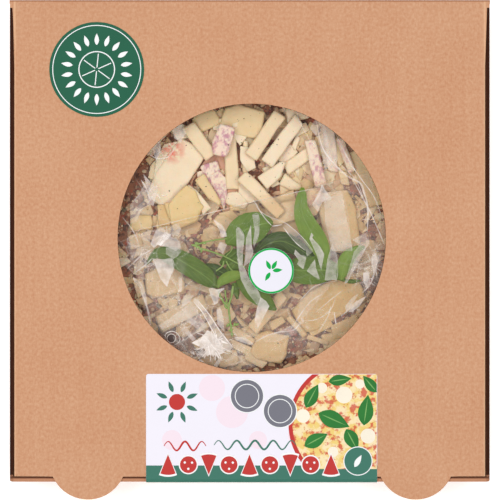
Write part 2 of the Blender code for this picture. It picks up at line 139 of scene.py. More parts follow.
def tint(red, green, blue):
    """A colour read as 0 to 255 display values, as the linear values that shaders take."""
    shares = [value / 255 for value in (red, green, blue)]
    return tuple(s / 12.92 if s <= 0.04045 else ((s + 0.055) / 1.055) ** 2.4 for s in shares)


# Settings that a user would change


def colour_setting(name, description, *shade):
    return FloatVectorProperty(name=name, description=description, default=tint(*shade), subtype="COLOR",
                               min=0, max=1)


def length_setting(name, description, default):
    return FloatProperty(name=name, description=description, default=default, unit="LENGTH",
                         subtype="DISTANCE")


def share_setting(name, description, default):
    return FloatProperty(name=name, description=description, default=default, min=0, max=1, subtype="FACTOR")


class BoardSettings(bpy.types.PropertyGroup):
    """Corrugated board of the box."""

    kraft: colour_setting("Kraft", "Face of the board", 206, 154, 119)
    raw_edge: colour_setting("Raw edge", "Shaded cut edge of the board", 66, 34, 19)
    flute_pitch: length_setting("Flute pitch", "Length of one wave of the corrugation", 3.2 * MM)
    flute_paper: length_setting("Flute paper", "Thickness of the corrugated paper", 0.26 * MM)


class PrintSettings(bpy.types.PropertyGroup):
    """Stickers and the front label."""

    green: colour_setting("Green", "Green of the stickers", 38, 98, 74)
    red: colour_setting("Red", "Red of the label", 194, 60, 56)
    paper: colour_setting("Paper", "Pale face of the label", 240, 236, 246)
    film_thickness: length_setting("Print step", "Height of one layer of print", 0.025 * MM)


class FoodSettings(bpy.types.PropertyGroup):
    """Dough, sauce, cheese and leaves."""

    cream: colour_setting("Pale cheese", "Young cheese", 239, 220, 191)
    yellow: colour_setting("Yellow cheese", "Riper cheese", 224, 194, 136)
    sauce: colour_setting("Sauce", "Sauce between the cheese", 150, 92, 60)
    dough: colour_setting("Dough", "Half baked dough", 226, 192, 142)
    leaf: colour_setting("Leaf", "Fresh leaf", 100, 126, 38)
    crumb_seed: IntProperty(name="Crumb seed", description="Order of the scattered crumbs", default=4)


class FilmSettings(bpy.types.PropertyGroup):
    """Clear film of the wrapping and of the pouch."""

    clearness: share_setting("Haze", "Share of light that flat film hides", 0.018)
    crease_strength: share_setting("Crease strength", "Share of light that a crease hides", 0.30)


class StageSettings(bpy.types.PropertyGroup):
    """Studio light and floor."""

    light_strength: FloatProperty(name="Soft box power", description="Power of each soft box", default=6.7,
                                  min=0, unit="POWER")
    sky_strength: FloatProperty(name="Surround", description="Brightness of the pale surround", default=0.30,
                                min=0)


# Meshes


def piece_object(name, mesh, finish, body, smooth_angle=None):
    """Links a finished mesh as a piece that rides on a body."""
    mesh.name = name
    mesh.materials.clear()
    mesh.materials.append(finish)
    if smooth_angle is not None:
        mesh.shade_smooth()
        mesh.set_sharp_from_angle(angle=radians(smooth_angle))
    piece = linked(name, mesh)
    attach(piece, body)
    return piece


def linked(name, data):
    """A new object in the scene."""
    made = bpy.data.objects.new(name, data)
    bpy.context.scene.collection.objects.link(made)
    return made


def dress(node, finish):
    """Gives a packed node its finish."""
    NODES[node].data.materials.clear()
    NODES[node].data.materials.append(finish)


def mesh_from(bm):
    mesh = bpy.data.meshes.new("shape")
    bm.to_mesh(mesh)
    bm.free()
    return mesh


def taken_mesh(carrier):
    """The mesh of an object after its modifiers. The object goes."""
    bpy.context.view_layer.update()
    evaluated = carrier.evaluated_get(bpy.context.evaluated_depsgraph_get())
    mesh = bpy.data.meshes.new_from_object(evaluated)
    bpy.data.objects.remove(carrier, do_unlink=True)
    return mesh


def modified(mesh, kind, settings):
    """The mesh after one modifier."""
    carrier = linked("carrier", mesh)
    modifier = carrier.modifiers.new("Change", kind)
    for name, value in settings.items():
        setattr(modifier, name, value)
    return taken_mesh(carrier)


def remeshed(mesh, voxel):
    """The mesh rebuilt with even faces, which also rounds its edges."""
    return modified(mesh, "REMESH", {"mode": "VOXEL", "voxel_size": voxel, "use_smooth_shade": True})


def merged_copy(node):
    """A bmesh copy of a packed node, with its loose triangles joined up."""
    bm = bmesh.new()
    bm.from_mesh(NODES[node].data)
    bmesh.ops.remove_doubles(bm, verts=bm.verts, dist=0.01 * MM)
    return bm


def finer_copy(node):
    """A packed node's mesh with its triangles paired and its surface subdivided."""
    bm = merged_copy(node)
    bmesh.ops.join_triangles(bm, faces=bm.faces, angle_face_threshold=0.7, angle_shape_threshold=0.9)
    return modified(mesh_from(bm), "SUBSURF", {"levels": 2, "render_levels": 2})


def vertex_array(mesh, normals=False):
    values = np.empty(len(mesh.vertices) * 3, np.float64)
    if normals:
        mesh.vertex_normals.foreach_get("vector", values)
    else:
        mesh.vertices.foreach_get("co", values)
    return values.reshape(-1, 3)


def put_vertices(mesh, places):
    mesh.vertices.foreach_set("co", places.astype(np.float32).ravel())
    mesh.update()


def noise_at(places, size, seed=0.0):
    """Smooth noise from about -1 to 1 at each place, with bumps of a given size."""
    shift = Vector((seed, seed * 0.7, seed * 1.3))
    return np.array([noise.noise(Vector(place) / size + shift) for place in places])


def away_from(places, spot, unit=1):
    """Level distance of each place from a spot."""
    return np.hypot(places[:, 0] - spot.x, places[:, 1] - spot.y) / unit


def roughen(mesh, *layers):
    """Moves each vertex along its normal by layers of noise, each an amount and a bump size."""
    places = vertex_array(mesh)
    moves = np.zeros(len(places))
    for index, (amount, size) in enumerate(layers):
        moves += amount * noise_at(places, size, 3.1 * (index + 1))
    put_vertices(mesh, places + vertex_array(mesh, True) * moves[:, None])


def store(mesh, name, values):
    """Keeps a number for each vertex, or the same one for all, for a material to read."""
    attribute = mesh.attributes.get(name) or mesh.attributes.new(name, "FLOAT", "POINT")
    attribute.data.foreach_set("value", np.full(len(mesh.vertices), values, np.float32))


def joined(meshes):
    """One mesh from several, with their stored numbers kept."""
    carriers = [linked("carrier", mesh) for mesh in meshes]
    with bpy.context.temp_override(active_object=carriers[0], selected_editable_objects=carriers):
        bpy.ops.object.join()
    mesh = carriers[0].data
    bpy.data.objects.remove(carriers[0], do_unlink=True)
    return mesh


def prism(outline, low, high, into=None):
    """A closed flat shape between two heights over an outline of (x, y) points."""
    bm = into or bmesh.new()
    base = bm.faces.new([bm.verts.new((point[0], point[1], low)) for point in outline])
    if base.normal.z > 0 or sum_of_turns(outline) > 0:
        base.normal_flip()
    walls = bmesh.ops.extrude_face_region(bm, geom=[base])
    top = [item for item in walls["geom"] if isinstance(item, bmesh.types.BMVert)]
    bmesh.ops.translate(bm, verts=top, vec=(0, 0, high - low))
    return bm


def sum_of_turns(outline):
    """Twice the outline's area, positive when it runs anticlockwise."""
    following = list(outline[1:]) + [outline[0]]
    return sum(a[0] * b[1] - b[0] * a[1] for a, b in zip(outline, following))


def around(centre, radius, turn):
    """The place at a distance and an angle in degrees from a centre."""
    return centre[0] + radius * cos(radians(turn)), centre[1] + radius * sin(radians(turn))


def arc(centre, radius, start, end, steps):
    """Points of an arc from one angle to another, both in degrees."""
    return [around(centre, radius, start + (end - start) * step / steps) for step in range(steps + 1)]


def circle(centre, radius, sides=48):
    return arc(centre, radius, 0, 360 * (1 - 1 / sides), sides - 1)


def smooth_route(points, per_span=6):
    """Points of a smooth curve through the route's own points."""
    ends = [points[0] * 2 - points[1]] + list(points) + [points[-1] * 2 - points[-2]]
    curve = []
    for a, b, c, d in zip(ends, ends[1:], ends[2:], ends[3:]):
        for step in range(per_span):
            t = step / per_span
            curve.append(0.5 * (2 * b + (c - a) * t + (2 * a - 5 * b + 4 * c - d) * t * t
                                + (3 * b - 3 * c + d - a) * t ** 3))
    curve.append(points[-1].copy())
    return curve


def runs(route):
    """The direction of a route at each of its points."""
    last = len(route) - 1
    pairs = [(route[max(index - 1, 0)], route[min(index + 1, last)]) for index in range(last + 1)]
    return [(after - before).normalized() for before, after in pairs]


def skin(bm, rows, closed=False, flip=False):
    """Faces between rows of vertices. Closed rows join up at their ends."""
    for near, far in zip(rows, rows[1:]):
        for step in range(len(near) - (not closed)):
            following = (step + 1) % len(near)
            corners = (near[step], near[following], far[following], far[step])
            bm.faces.new([corners[index] for index in ((0, 3, 2, 1) if flip else (0, 1, 2, 3))])


def tube(route, radius_of, sides=8, into=None):
    """A closed tube along a route, whose radius is a function of the share of its length."""
    bm = into or bmesh.new()
    rings = []
    for index, (place, run) in enumerate(zip(route, runs(route))):
        across = run.cross(UP).normalized() if abs(run.dot(UP)) < 0.99 else Vector((1, 0, 0))
        up = across.cross(run).normalized()
        radius = radius_of(index / (len(route) - 1))
        turns = [tau * step / sides for step in range(sides)]
        rings.append([bm.verts.new(place + (across * cos(t) + up * sin(t)) * radius) for t in turns])
    skin(bm, rings, closed=True)
    bm.faces.new(rings[0][::-1])
    bm.faces.new(rings[-1])
    return bm


def sight_tree(name):
    """For rays that meet a finished piece, to lay other pieces on it."""
    mesh = bpy.data.objects[name].data
    places = [vertex.co.copy() for vertex in mesh.vertices]
    return BVHTree.FromPolygons(places, [tuple(face.vertices) for face in mesh.polygons])


def pouch_tree():
    return BVHTree.FromObject(NODES["leaf_pouch"], bpy.context.evaluated_depsgraph_get())


def laid_on(trees, x, y, fallback):
    """The highest of some surfaces at a place."""
    hits = [tree.ray_cast(Vector((x, y, 0.1)), -UP)[0] for tree in trees]
    return max([fallback] + [hit.z for hit in hits if hit is not None])


def cut_pieces():
    return [obj.name for obj in bpy.data.objects if obj.name.endswith("_cut")]


# Shader and geometry nodes


def operator(operation, swapped=False):
    """A method of Value for one sign of arithmetic."""
    def method(self, other):
        return self.maths(operation, first=other) if swapped else self.maths(operation, other)
    return method


class Value:
    """An output of a node. Arithmetic with it adds the nodes that work the result out."""

    __add__ = operator("ADD")
    __sub__ = operator("SUBTRACT")
    __mul__ = operator("MULTIPLY")
    __truediv__ = operator("DIVIDE")
    __pow__ = operator("POWER")
    __rsub__ = operator("SUBTRACT", swapped=True)
    __rtruediv__ = operator("DIVIDE", swapped=True)

    def __init__(self, tree, socket):
        self.tree = tree
        self.socket = socket

    def maths(self, operation, *others, first=None, clamp=False):
        values = (self, *others) if first is None else (first, self)
        made = Nodes(self.tree).add("ShaderNodeMath", {"operation": operation, "use_clamp": clamp})
        for socket, value in zip(made.inputs, values):
            feed(self.tree, socket, value)
        return Value(self.tree, made.outputs[0])

    def __abs__(self):
        return self.maths("ABSOLUTE")

    def held(self):
        """Held between 0 and 1."""
        return self.maths("MULTIPLY", 1.0, clamp=True)

    def spread(self, low, high, out_low=0.0, out_high=1.0):
        """Its range mapped smoothly to another, held at both ends."""
        made = Nodes(self.tree).add("ShaderNodeMapRange", {"clamp": True, "interpolation_type": "SMOOTHSTEP"})
        for socket, number in zip(made.inputs, (self, low, high, out_low, out_high)):
            feed(self.tree, socket, number)
        return Value(self.tree, made.outputs[0])


def feed(tree, socket, value):
    if isinstance(value, Value):
        tree.links.new(value.socket, socket)
    elif isinstance(value, tuple) and len(value) == 3 and len(socket.default_value) == 4:
        socket.default_value = (*value, 1)
    else:
        socket.default_value = value


class Nodes:
    """A node tree under construction."""

    def __init__(self, tree):
        self.tree = tree

    def add(self, kind, settings=None, **inputs):
        """A node with its settings and its inputs, each a value or another node's output."""
        made = self.tree.nodes.new(kind)
        for name, value in (settings or {}).items():
            setattr(made, name, value)
        for name, value in inputs.items():
            feed(self.tree, made.inputs[name.replace("_", " ")], value)
        return made

    def get(self, kind, output=0, settings=None, **inputs):
        """One output of a new node."""
        return Value(self.tree, self.add(kind, settings, **inputs).outputs[output])

    def mix(self, share, first, second, blend="MIX"):
        made = self.add("ShaderNodeMix", {"data_type": "RGBA", "blend_type": blend})
        for index, value in ((0, share), (6, first), (7, second)):
            feed(self.tree, made.inputs[index], value)
        return Value(self.tree, made.outputs[2])

    def split(self, vector):
        return [Value(self.tree, part) for part in self.add("ShaderNodeSeparateXYZ", Vector=vector).outputs]

    def noise(self, size, detail=2.0, roughness=0.5, stretch=None, vector=None):
        """Noise whose bumps measure about size metres."""
        place = vector or self.place
        if stretch:
            place = self.get("ShaderNodeMapping", Vector=place, Scale=stretch)
        return self.get("ShaderNodeTexNoise", "Fac", Vector=place, Scale=1 / size, Detail=detail,
                        Roughness=roughness)


class Group(Nodes):
    """A node group. Each input is named with its kind or its number, each output with its kind."""

    def __init__(self, name, inputs, outputs, family="Shader"):
        super().__init__(bpy.data.node_groups.new(name, family + "NodeTree"))
        for label, value in inputs.items():
            kind = value if isinstance(value, str) else "Int" if isinstance(value, int) else "Float"
            socket = self.tree.interface.new_socket(label, in_out="INPUT", socket_type="NodeSocket" + kind)
            if kind != value:
                socket.default_value = value
        for label, kind in outputs.items():
            self.tree.interface.new_socket(label, in_out="OUTPUT", socket_type="NodeSocket" + kind)
        self.given = self.add("NodeGroupInput").outputs
        self.results = self.add("NodeGroupOutput").inputs
        self.place = self["Vector"] if "Vector" in inputs else None

    def __getitem__(self, label):
        return Value(self.tree, self.given[label])

    def __setitem__(self, label, value):
        feed(self.tree, self.results[label], value)

    def finished(self, geometry):
        """Ends a geometry tree with real faces in their finish."""
        real = self.get("GeometryNodeRealizeInstances", Geometry=geometry)
        self["Geometry"] = self.get("GeometryNodeSetMaterial", Geometry=real, Material=self["Finish"])
        return self.tree


class Finish(Nodes):
    """A material under construction."""

    def __init__(self, name, roughness=0.6, **constants):
        self.material = bpy.data.materials.new(name)
        self.material.use_nodes = True
        super().__init__(self.material.node_tree)
        self.sockets = self.tree.nodes["Principled BSDF"].inputs
        self["Roughness"] = roughness
        for label, value in constants.items():
            self[label.replace("_", " ")] = value
        self.place = self.get("ShaderNodeTexCoord", "Object")

    def __setitem__(self, label, value):
        feed(self.tree, self.sockets[label], value)

    def stored(self, name):
        return self.get("ShaderNodeAttribute", "Fac", {"attribute_name": name})

    def bump(self, height, distance, strength=1.0):
        self["Normal"] = self.get("ShaderNodeBump", Height=height, Distance=distance, Strength=strength)

    def group(self, name, **inputs):
        made = self.tree.nodes.new("ShaderNodeGroup")
        made.node_tree = bpy.data.node_groups[name]
        for label, value in dict(inputs, Vector=self.place).items():
            feed(self.tree, made.inputs[label], value)
        return {output.name: Value(self.tree, output) for output in made.outputs}

    def patches(self, size, first, second, middle, softness):
        """Two colours that give way to each other in soft uneven patches."""
        return self.group("patches", Size=size, First=first, Second=second, Middle=middle,
                          Softness=softness)["Colour"]

    def patch_mask(self, size, middle, softness):
        return self.group("patches", Size=size, Middle=middle, Softness=softness)["Mask"]

    def specks(self, spacing, size, share):
        return self.group("specks", Spacing=spacing, Size=size, Share=share)["Mask"]


def group_kraft_fibre():
    """Mottled unbleached paper: soft clouds, small blotches, and fine fibres that run one way."""
    group = Group("kraft_fibre", {"Vector": "Vector", "Colour": "Color", "Mottle": 1.0},
                  {"Colour": "Color", "Roughness": "Float", "Height": "Float"})
    clouds = group.noise(45 * MM)
    blotches = group.noise(1.9 * MM, 3, 0.6)
    fibres = group.noise(0.5 * MM, 3, 0.65, (1, 0.16, 1))
    threads = group.noise(2.6 * MM, 2, 0.5, (1, 0.03, 1))
    amount = (blotches - 0.5) * 0.34 + (clouds - 0.5) * 0.10
    amount = amount + (fibres - 0.5) * 0.26 + (threads - 0.5) * 0.07
    shade = amount * group["Mottle"] + 1.0
    uneven = group.get("ShaderNodeCombineColor", Red=shade, Green=shade ** 2.1, Blue=shade ** 2.8)
    group["Colour"] = group.mix(1.0, group["Colour"], uneven, "MULTIPLY")
    group["Roughness"] = fibres.spread(0.3, 0.7, 0.72, 0.88)
    group["Height"] = blotches * 0.5 + fibres


def group_specks():
    """Scattered small dots, of which only a share of the cells hold one."""
    group = Group("specks", {"Vector": "Vector", "Spacing": 0.003, "Size": 0.25, "Share": 0.4},
                  {"Mask": "Float"})
    grid = group.add("ShaderNodeTexVoronoi", Vector=group.place, Scale=1.0 / group["Spacing"], Randomness=1.0)
    cell = Value(group.tree, grid.outputs["Color"])
    draw = group.add("ShaderNodeSeparateColor", Color=cell).outputs
    chosen = Value(group.tree, draw["Red"]).maths("LESS_THAN", group["Share"])
    reach = group["Size"] * (Value(group.tree, draw["Green"]) * 0.8 + 0.4)
    inside = 1.0 - Value(group.tree, grid.outputs["Distance"]) / reach
    group["Mask"] = inside.maths("MULTIPLY", 3.0, clamp=True) * chosen


def group_patches():
    """Two colours that give way to each other in soft uneven patches."""
    group = Group("patches", {"Vector": "Vector", "Size": 0.01, "First": "Color", "Second": "Color",
                              "Middle": 0.5, "Softness": 0.12}, {"Colour": "Color", "Mask": "Float"})
    cloud = group.get("ShaderNodeTexNoise", "Fac", Vector=group.place, Scale=1.0 / group["Size"], Detail=4.0,
                      Roughness=0.6)
    mask = cloud.spread(group["Middle"] - group["Softness"], group["Middle"] + group["Softness"])
    group["Colour"] = group.mix(mask, group["First"], group["Second"])
    group["Mask"] = mask


def group_crinkle():
    """Facets and thin creases of crumpled film."""
    group = Group("crinkle", {"Vector": "Vector", "Size": 0.012}, {"Height": "Float", "Crease": "Float"})
    bent = group.get("ShaderNodeTexNoise", "Color", Vector=group.place, Scale=1 / (14 * MM), Detail=2.0)
    shifted = group.add("ShaderNodeVectorMath", {"operation": "MULTIPLY_ADD"})
    for socket, value in zip(shifted.inputs, (bent, (9 * MM, 9 * MM, 0), group.place)):
        feed(group.tree, socket, value)
    place = Value(group.tree, shifted.outputs[0])
    scale = 1.0 / group["Size"]
    edges = group.get("ShaderNodeTexVoronoi", "Distance", {"feature": "DISTANCE_TO_EDGE"}, Vector=place,
                      Scale=scale)
    cells = group.get("ShaderNodeTexVoronoi", "Distance", Vector=place, Scale=scale)
    group["Crease"] = edges.spread(0.0, 0.045, 1.0, 0.0)
    group["Height"] = group.noise(3 * MM, 3, vector=place) * 0.35 + cells


def finish_kraft(name, colour, lid=False):
    """Kraft board: painted highlight on the lid's folds and painted shade at its hinge; on the tray, darker
    raw top edges that are partly painted shade, and painted shade on the rolled front top.
    """
    made = Finish(name, Specular_IOR_Level=0.14)
    fibre = made.group("kraft_fibre", Colour=colour)
    base = fibre["Colour"]
    x, y, z = made.split(made.place)
    side = abs(x)
    if lid:
        # Painted highlight along the lid's folded edges
        fold = abs(side - (LID_SIDE - 0.4 * MM)).spread(0.2 * MM, 1.0 * MM, 1.0, 0.0)
        high = z.spread(LID_TOP - 1.2 * MM, LID_TOP - 0.2 * MM)
        base = made.mix(fold * high * 0.55, base, tint(236, 192, 152))
        # Painted shade along the bend of the hinge at the back
        hinge_shade = y.spread(BACK - 1.6 * MM, BACK - 0.4 * MM, 0.0, 0.9)
        base = made.mix(hinge_shade, base, tint(160, 104, 74))
    else:
        # Dark raw top edges of the side walls: partly the raw board's colour, partly painted shade in the gap
        # under the lid
        raw_edge_and_shade = z.spread(WALL_TOP - 0.3 * MM, WALL_TOP - 0.05 * MM)
        base = made.mix(raw_edge_and_shade * side.spread(SIDE - BOARD - 0.4 * MM, SIDE - BOARD), base, tint(56, 26, 13))
        # Painted shade on the top of the rolled front wall
        front = y.spread(LID_FRONT + 1 * MM, LID_FRONT + 0.8 * MM)
        shaded_rolled_top = front * z.spread(WALL_TOP - 0.5 * MM, WALL_TOP - 0.1 * MM)
        base = made.mix(shaded_rolled_top * 0.8, base, tint(184, 129, 98))
        # Darker painted shade in the slit between the rolled wall's two layers
        slit_shade = abs(y - (LID_FRONT - 0.75 * MM)).spread(0.5 * MM, 0.9 * MM, 0.9, 0.0)
        base = made.mix(slit_shade * shaded_rolled_top, base, tint(96, 58, 42))
    made["Base Color"] = base
    made["Roughness"] = fibre["Roughness"]
    made.bump(fibre["Height"], 0.06 * MM, 0.6)
    return made.material


def finish_raw_edge(colour):
    """Torn paper of the board's cut edge, drawn dark: partly the paper's own colour, partly painted shade of
    the flutes' hollows.
    """
    made = Finish("board_raw_edge", Specular_IOR_Level=0.1)
    fibre = made.group("kraft_fibre", Colour=colour, Mottle=1.6)
    made["Base Color"] = fibre["Colour"]
    made["Roughness"] = fibre["Roughness"]
    made.bump(fibre["Height"], 0.05 * MM, 0.7)
    return made.material


def finish_paper(name, colour, roughness=0.38, clouds=0.04):
    """Smooth printed paper with a faint grain."""
    made = Finish(name, roughness, Specular_IOR_Level=0.08)
    fine = made.noise(0.6 * MM, 3, 0.6)
    broad = made.noise(22 * MM)
    shade = (fine - 0.5) * clouds + (broad - 0.5) * (clouds * 1.5) + 1.0
    even = made.get("ShaderNodeCombineColor", Red=shade, Green=shade, Blue=shade)
    made["Base Color"] = made.mix(1.0, colour, even, "MULTIPLY")
    made["Roughness"] = broad.spread(0.3, 0.7, roughness - 0.05, roughness + 0.08)
    made.bump(fine, 0.02 * MM, 0.35)
    return made.material


def finish_dough(colour):
    """Pale dough with floury patches and browned blisters."""
    made = Finish("dough", 0.75, Subsurface_Weight=0.15, Subsurface_Scale=2 * MM)
    base = made.patches(9 * MM, colour, tint(240, 218, 180), 0.52, 0.1)
    made["Base Color"] = made.mix(made.patch_mask(6 * MM, 0.66, 0.05) * 0.7, base, tint(168, 108, 58))
    made.bump(made.noise(1.4 * MM, 4, 0.6), 0.25 * MM, 0.7)
    return made.material


def finish_sauce(colour, cheese):
    """Chunky sauce. Where the stored number says cheese, a pale cheese surface."""
    made = Finish("sauce", 0.42, Subsurface_Weight=0.1, Subsurface_Scale=1.5 * MM, Specular_IOR_Level=0.2)
    base = made.patches(4.5 * MM, colour, tint(88, 47, 29), 0.52, 0.08)
    base = made.mix(made.patch_mask(3.4 * MM, 0.60, 0.03) * 0.7, base, tint(176, 72, 52))
    base = made.mix(made.specks(2.6 * MM, 0.42, 0.5) * 0.8, base, tint(206, 172, 136))
    base = made.mix(made.specks(2.1 * MM, 0.26, 0.25) * 0.8, base, tint(60, 52, 34))
    made["Base Color"] = made.mix(made.stored("cheese_share"), base, cheese)
    rise = made.noise(1.1 * MM, 4, 0.65)
    made["Roughness"] = rise.spread(0.35, 0.65, 0.3, 0.55)
    made.bump(rise, 0.35 * MM, 0.8)
    return made.material


# Painted shade: what the food's colour is multiplied by where the pouch keeps the light off it
POUCH_SHADE_TINT = tint(236, 221, 196)


def finish_cheese(cream, yellow):
    """Cut cheese: creamy to yellow and tan by the stored tone, with stained places and specks."""
    made = Finish("cheese", 0.5, Subsurface_Weight=0.22, Subsurface_Scale=3 * MM, IOR=1.42)
    tone = (made.noise(7 * MM, 3) - 0.5) * 0.5 + made.stored("tone")
    base = made.mix(tone.held(), cream, yellow)
    base = made.mix((tone - 1.0).held(), base, tint(196, 150, 92))
    pink = made.stored("stain")
    base = made.mix(pink * 0.35, base, tint(236, 214, 206))
    streaks = made.noise(3.4 * MM, 4, 0.6, (1.0, 0.7, 1.0))
    base = made.mix(streaks.spread(0.44, 0.64) * pink, base, tint(196, 138, 152))
    red = made.noise(3.2 * MM, 3).spread(0.34, 0.60) * made.stored("red")
    base = made.mix(red, base, tint(220, 84, 62))
    # Painted shade where the pouch lies over the cheese
    base = made.mix(made.stored("under_pouch"), base, POUCH_SHADE_TINT, "MULTIPLY")
    made["Base Color"] = made.mix(made.specks(3.2 * MM, 0.13, 0.35) * 0.6, base, tint(112, 96, 74))
    grain = made.noise(0.9 * MM, 4, 0.6)
    made["Roughness"] = grain.spread(0.3, 0.7, 0.4, 0.6)
    made.bump(grain, 0.12 * MM, 0.6)
    return made.material


def finish_chips():
    """Cheese of small pieces: cream, yellow, tan or pinkish by the stored kind."""
    made = Finish("chip_cheese", 0.5, Subsurface_Weight=0.2, Subsurface_Scale=2 * MM)
    kind = made.stored("kind")
    base = made.mix(kind.spread(0.0, 0.6), tint(236, 216, 184), tint(222, 192, 144))
    base = made.mix(kind.spread(0.72, 0.76), base, tint(206, 172, 138))
    away = made.add("ShaderNodeVectorMath", {"operation": "DISTANCE"})
    feed(made.tree, away.inputs[0], made.place)
    away.inputs[1].default_value = seen_at(*BLUSH_MIDDLE, SAUCE_LEVEL)
    near = Value(made.tree, away.outputs["Value"]).spread(18 * MM, 42 * MM, 1.0, 0.0)
    base = made.mix(near * kind.spread(0.45, 0.6, 0.1, 0.8), base, tint(206, 146, 118))
    cloud = made.noise(4 * MM, 3)
    base = made.mix(cloud.spread(0.50, 0.74, 0.0, 0.55), base, tint(190, 146, 120))
    # Painted shade where the pouch lies over the chips
    made["Base Color"] = made.mix(made.stored("under_pouch"), base, POUCH_SHADE_TINT, "MULTIPLY")
    made.bump(cloud, 0.2 * MM, 0.6)
    return made.material


# Crumbs by the stored kind: cheese, toasted cheese, browned bits, red bits, dark bits and herbs
CRUMB_SHADES = ((0.0, tint(232, 206, 166)), (0.34, tint(205, 170, 128)), (0.52, tint(150, 104, 76)),
                (0.70, tint(164, 66, 50)), (0.80, tint(96, 60, 44)), (0.93, tint(66, 62, 38)))


def finish_crumb():
    made = Finish("crumbs", 0.5, Subsurface_Weight=0.1, Subsurface_Scale=1 * MM, Specular_IOR_Level=0.25)
    node = made.add("ShaderNodeValToRGB", Fac=made.stored("kind"))
    ramp = node.color_ramp
    ramp.interpolation = "CONSTANT"
    for index, (place, shade) in enumerate(CRUMB_SHADES):
        element = ramp.elements[index] if index < 2 else ramp.elements.new(place)
        element.position = place
        element.color = (*shade, 1)
    cloud = made.noise(1.5 * MM, 3)
    made["Base Color"] = made.mix(cloud * 0.35, Value(made.tree, node.outputs[0]), tint(236, 214, 180))
    made.bump(cloud, 0.15 * MM, 0.6)
    return made.material


def finish_leaf(colour):
    """Leaf with a pale midrib and side veins, which follow the piece's own UV map."""
    made = Finish("leaf", 0.5, Subsurface_Weight=0.1, Subsurface_Scale=1 * MM, Specular_IOR_Level=0.15)
    along, across, _ = made.split(made.get("ShaderNodeUVMap", settings={"uv_map": "blade"}))
    off = abs(across - 0.5)
    rib = off.spread(0.0, 0.045, 1.0, 0.0)
    saw = ((off * -0.75 + along) * 7.0).maths("FRACT")
    vein = abs(saw - 0.5).spread(0.0, 0.12, 1.0, 0.0)
    lines = rib.maths("MAXIMUM", vein * 0.5)
    cloud = made.noise(5 * MM, 3)
    dull = made.mix(cloud.spread(0.3, 0.7), colour, tint(86, 114, 32))
    # Lighter below 0 and darker above 0 by the stored shade: partly the leaf's own green, partly painted
    # shade and haze
    shade = made.stored("shade")
    lightened = made.mix((shade * -1.0).held(), dull, tint(150, 176, 78))
    darkened = made.mix(shade, lightened, tint(52, 72, 34))
    made["Base Color"] = made.mix(lines * 0.4, darkened, tint(142, 168, 92))
    made.bump(cloud - lines, 0.25 * MM, 0.7)
    return made.material


def finish_cloudy(name, roughness, size, first, second, detail=2):
    """Two close colours in soft clouds, and the clouds themselves."""
    made = Finish(name, roughness)
    cloud = made.noise(size, detail)
    made["Base Color"] = made.mix(cloud, first, second)
    return made, cloud


def finish_film(name, haze, crease, size):
    """Clear film. It hides more where the stored haze and glare says so, along creases, and at a slant: a
    pale cover that is partly the film's own haze and partly painted glare and reflection.
    """
    made = Finish(name, 0.16, Specular_IOR_Level=0.9, Coat_Weight=0.6, Coat_Roughness=0.08)
    folds = made.group("crinkle", Size=size)
    zone = made.stored("haze")
    # Pale cover: partly the film's own haze, partly painted glare along creases and in crumpled zones
    cover = (zone * 0.05 + haze) + folds["Crease"] * (zone * crease)
    # Painted reflection that grows at a slant
    slant = made.get("ShaderNodeFresnel", IOR=1.3)
    made["Base Color"] = tint(246, 236, 226)
    made["Alpha"] = (slant * 0.3 + cover).held()
    made.bump(folds["Height"], 1.0 * MM, 0.6)
    return made.material


def finish_glare(name):
    """Folded film that catches the light: pale and partly see-through, by the stored cover."""
    made = Finish(name, 0.4, Specular_IOR_Level=0.25)
    made["Base Color"] = tint(250, 240, 233)
    streaks = made.noise(5.0 * MM, 3, 0.55).spread(0.32, 0.68, 0.66, 1.2)
    made["Alpha"] = (made.stored("cover") * streaks).held()
    return made.material


def run_tree(carrier, tree, **values):
    """The plain mesh that a geometry tree makes on a carrier object."""
    made = carrier.modifiers.new("Nodes", "NODES")
    made.node_group = tree
    sockets = {item.name: item.identifier for item in tree.interface.items_tree if item.in_out == "INPUT"}
    for label, value in values.items():
        made[sockets[label]] = value
    return taken_mesh(carrier)


def tree_flutes():
    """A wavy strip of paper along a path, as a cut edge of corrugated board shows it."""
    tree = Group("flutes", {"Geometry": "Geometry", "Pitch": 3.2 * MM, "Swing": 0.7 * MM, "Paper": 0.13 * MM,
                            "Direction": "Vector", "Finish": "Material"},
                 {"Geometry": "Geometry"}, "Geometry")
    path = tree.get("GeometryNodeMeshToCurve", Mesh=tree["Geometry"])
    step = tree["Pitch"] / 10.0
    even = tree.get("GeometryNodeResampleCurve", 0, {"mode": "LENGTH"}, Curve=path, Length=step)
    length = tree.get("GeometryNodeSplineParameter", "Length")
    swing = (length / tree["Pitch"] * tau).maths("SINE") * tree["Swing"]
    move = tree.get("ShaderNodeVectorMath", 0, {"operation": "SCALE"}, Vector=tree["Direction"], Scale=swing)
    waved = tree.get("GeometryNodeSetPosition", Geometry=even, Offset=move)
    profile = tree.get("GeometryNodeCurvePrimitiveCircle", Resolution=5, Radius=tree["Paper"])
    strip = tree.get("GeometryNodeCurveToMesh", Curve=waved, Profile_Curve=profile, Fill_Caps=True)
    return tree.finished(strip)


